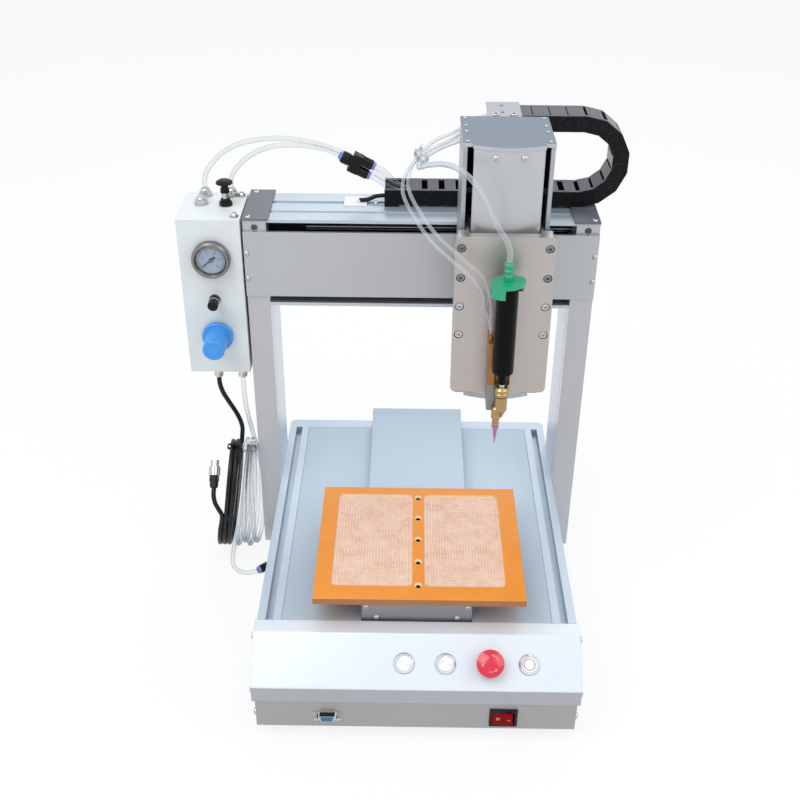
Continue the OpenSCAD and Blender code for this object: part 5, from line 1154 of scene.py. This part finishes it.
motor_cable = [(-75, 149, 2.7), (-62, 151, 3.5), (-54, 154, 6), (-36, 156, 7), (-14, 157, 7)]
cable_r = 2.5


def over_beam(route):
    """A smooth path from points whose heights are taken from the top of the beam."""
    return smooth([(x, y, z + beam_top) for x, y, z in route])


for name, route in feed_routes.items():
    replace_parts(hose(name, over_beam(route), hose_r, clear_tube, "base", bore_r), "feed_hoses")
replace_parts(hose("motor_cable", over_beam(motor_cable), cable_r, black_jacket, "base"), "feed_hoses")

split_at = Vector((-76, 150, 532))
split_tilt = math.radians(27)
split_way = Vector((math.cos(split_tilt), 0, -math.sin(split_tilt)))
split_up = Vector((math.sin(split_tilt), 0, math.cos(split_tilt)))
split_half = 6.5
inlet_off, swell_off = 19, 18.5
outlet_off, outlet_up = 17.98, 6.4
collar = [(3.05, -0.4), (5.3, -0.4), (5.3, 0.5), (4.6, 1.0), (4.6, 2.2), (4.9, 2.4), (4.7, 3.0),
          (3.3, 3.0), (3.05, 2.6), (3.05, -0.4)]
mesh = bmesh.new()
turned(mesh, collar, split_at - split_way * inlet_off, -split_way)
for side in (-1, 1):
    turned(mesh, collar, split_at + split_way * outlet_off + split_up * side * outlet_up, split_way)
blue_pom = moulded("moulded_blue_release_ring", "#7f92dc", 0.35)
piece("connector_rings", mesh, blue_pom, "base", 30)
boss = [(1.5, -0.3), (3.6, -0.3), (3.6, 0.5), (3.2, 0.9), (1.9, 0.9), (1.5, 0.5), (1.5, -0.3)]
swell = [(6.4, 0), (7.1, 1.2), (7.3, 3), (7.3, 7), (7.1, 8.8), (6.4, 10), (6.4, 0)]
mesh = bmesh.new()
for side in (-1, 1):
    turned(mesh, boss, split_at - split_way + Vector((0, side * split_half, 0)), (0, side, 0))
turned(mesh, swell, split_at - split_way * swell_off, split_way)
piece("connector_bosses", mesh, knob_black, "base", 30)
fitting_at = Vector((-207.2, 41.1, 6.5))
fitting_turn = math.radians(38)
fitting_way = Vector((math.cos(fitting_turn), math.sin(fitting_turn), 0))
fitting_long = 23
mesh = bmesh.new()
turned(mesh, collar, fitting_at, -fitting_way)
turned(mesh, collar, fitting_at + fitting_way * fitting_long, fitting_way)
piece("fitting_rings", mesh, blue_pom, "base", 30)


# Head hoses. Three clear tubes from the chain's upper end, tied once beside the head,
# then in loose loops to the syringe cap and to the holder, which moves up and down.
head_routes = {
    "head_hose_syringe": (3, 2, (10, 30, 575), (84, -63, 535), [
        (98, 146, 105.5), (76, 145, 104.5), (58, 130, 101), (42, 96, 97), (20, 78, 94), (2, 62, 88),
        (-4, 50, 82), (4, 38, 88), (20, 15, 98), (34, -10, 103), (46, -30, 101), (57, -45, 92),
        (66, -56, 77), (76, -62, 60), (85, -63, 46), (88.7, -63, 35), (88.7, -63, 24)]),
    "head_hose_front": (2, 1.2, (-15, 34, 555), (70, -50, 470), [
        (98, 155, 106.5), (76, 152, 106.5), (60, 139, 106), (35, 99, 104), (13, 82, 99.5), (-1.5, 66.5, 92),
        (-12, 50, 81.5), (-15, 34, 68), (-11, 18, 59), (0, -2, 48), (13, -22, 37), (31, -40, 26),
        (50, -48, 12), (67, -49, -6), (74, -47, -36), (75.5, -48, -67.4)]),
    "head_hose_rear": (2, 1.2, (-21, 35, 548), (64, -55, 468), [
        (98, 166, 106.5), (57, 146, 96), (31, 104, 93), (8, 86, 88), (-5, 68, 84), (-18, 53, 73),
        (-21, 35, 61), (-16, 17, 52), (-5, -4, 41), (10, -26, 29), (29, -45, 18), (49, -55, 4),
        (64, -55, -16), (66.5, -48, -34), (72, -41.5, -50), (75.5, -40, -67.4)])}
head_tube = clear_polyurethane("extruded_bluish_polyurethane", (0.2, 0.66), "#8f9bb4")
for name, (outer, inner, slack, fixed, route) in head_routes.items():
    made = hose(name, over_beam(route), outer, head_tube, None, inner, 14)
    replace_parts(made, "head_hoses")
    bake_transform(made)

tie_at = Vector((-1.5, 65.5, 572))
tie_way = Vector((-0.6, -0.68, -0.42)).normalized()
tie_side = tie_way.cross(Vector((0, 0, 1))).normalized()
tie_up = tie_side.cross(tie_way)
band_half_x, band_half_y = 8.6, 9.4
band_wide, band_thick = 4.4, 1
band_steps = 40
lock = oblong(6, 5.6)
lock_off, lock_half = 10.6, 2
tail = [(-1.9, 0), (1.9, 0), (1.6, 14), (-1.6, 14)]
tail_off, tail_half = 11.4, 0.5
tail_way = (tie_up - tie_side) * 0.7
loop = []
for k in range(band_steps):
    a = k * math.tau / band_steps
    loop.append(tie_at + tie_side * math.cos(a) * band_half_x + tie_up * math.sin(a) * band_half_y)
mesh = bmesh.new()
strap(mesh, loop, tie_way, band_wide, band_thick)
flat(mesh, lock, tie_at + tie_up * lock_off, tie_side, tie_way, lock_half)
flat(mesh, tail, tie_at + tie_up * tail_off - tie_side, tie_way, tail_way, tail_half)
piece("head_hose_tie", mesh, nylon("moulded_clear_nylon", "#dfe8ea"), "head", 30)
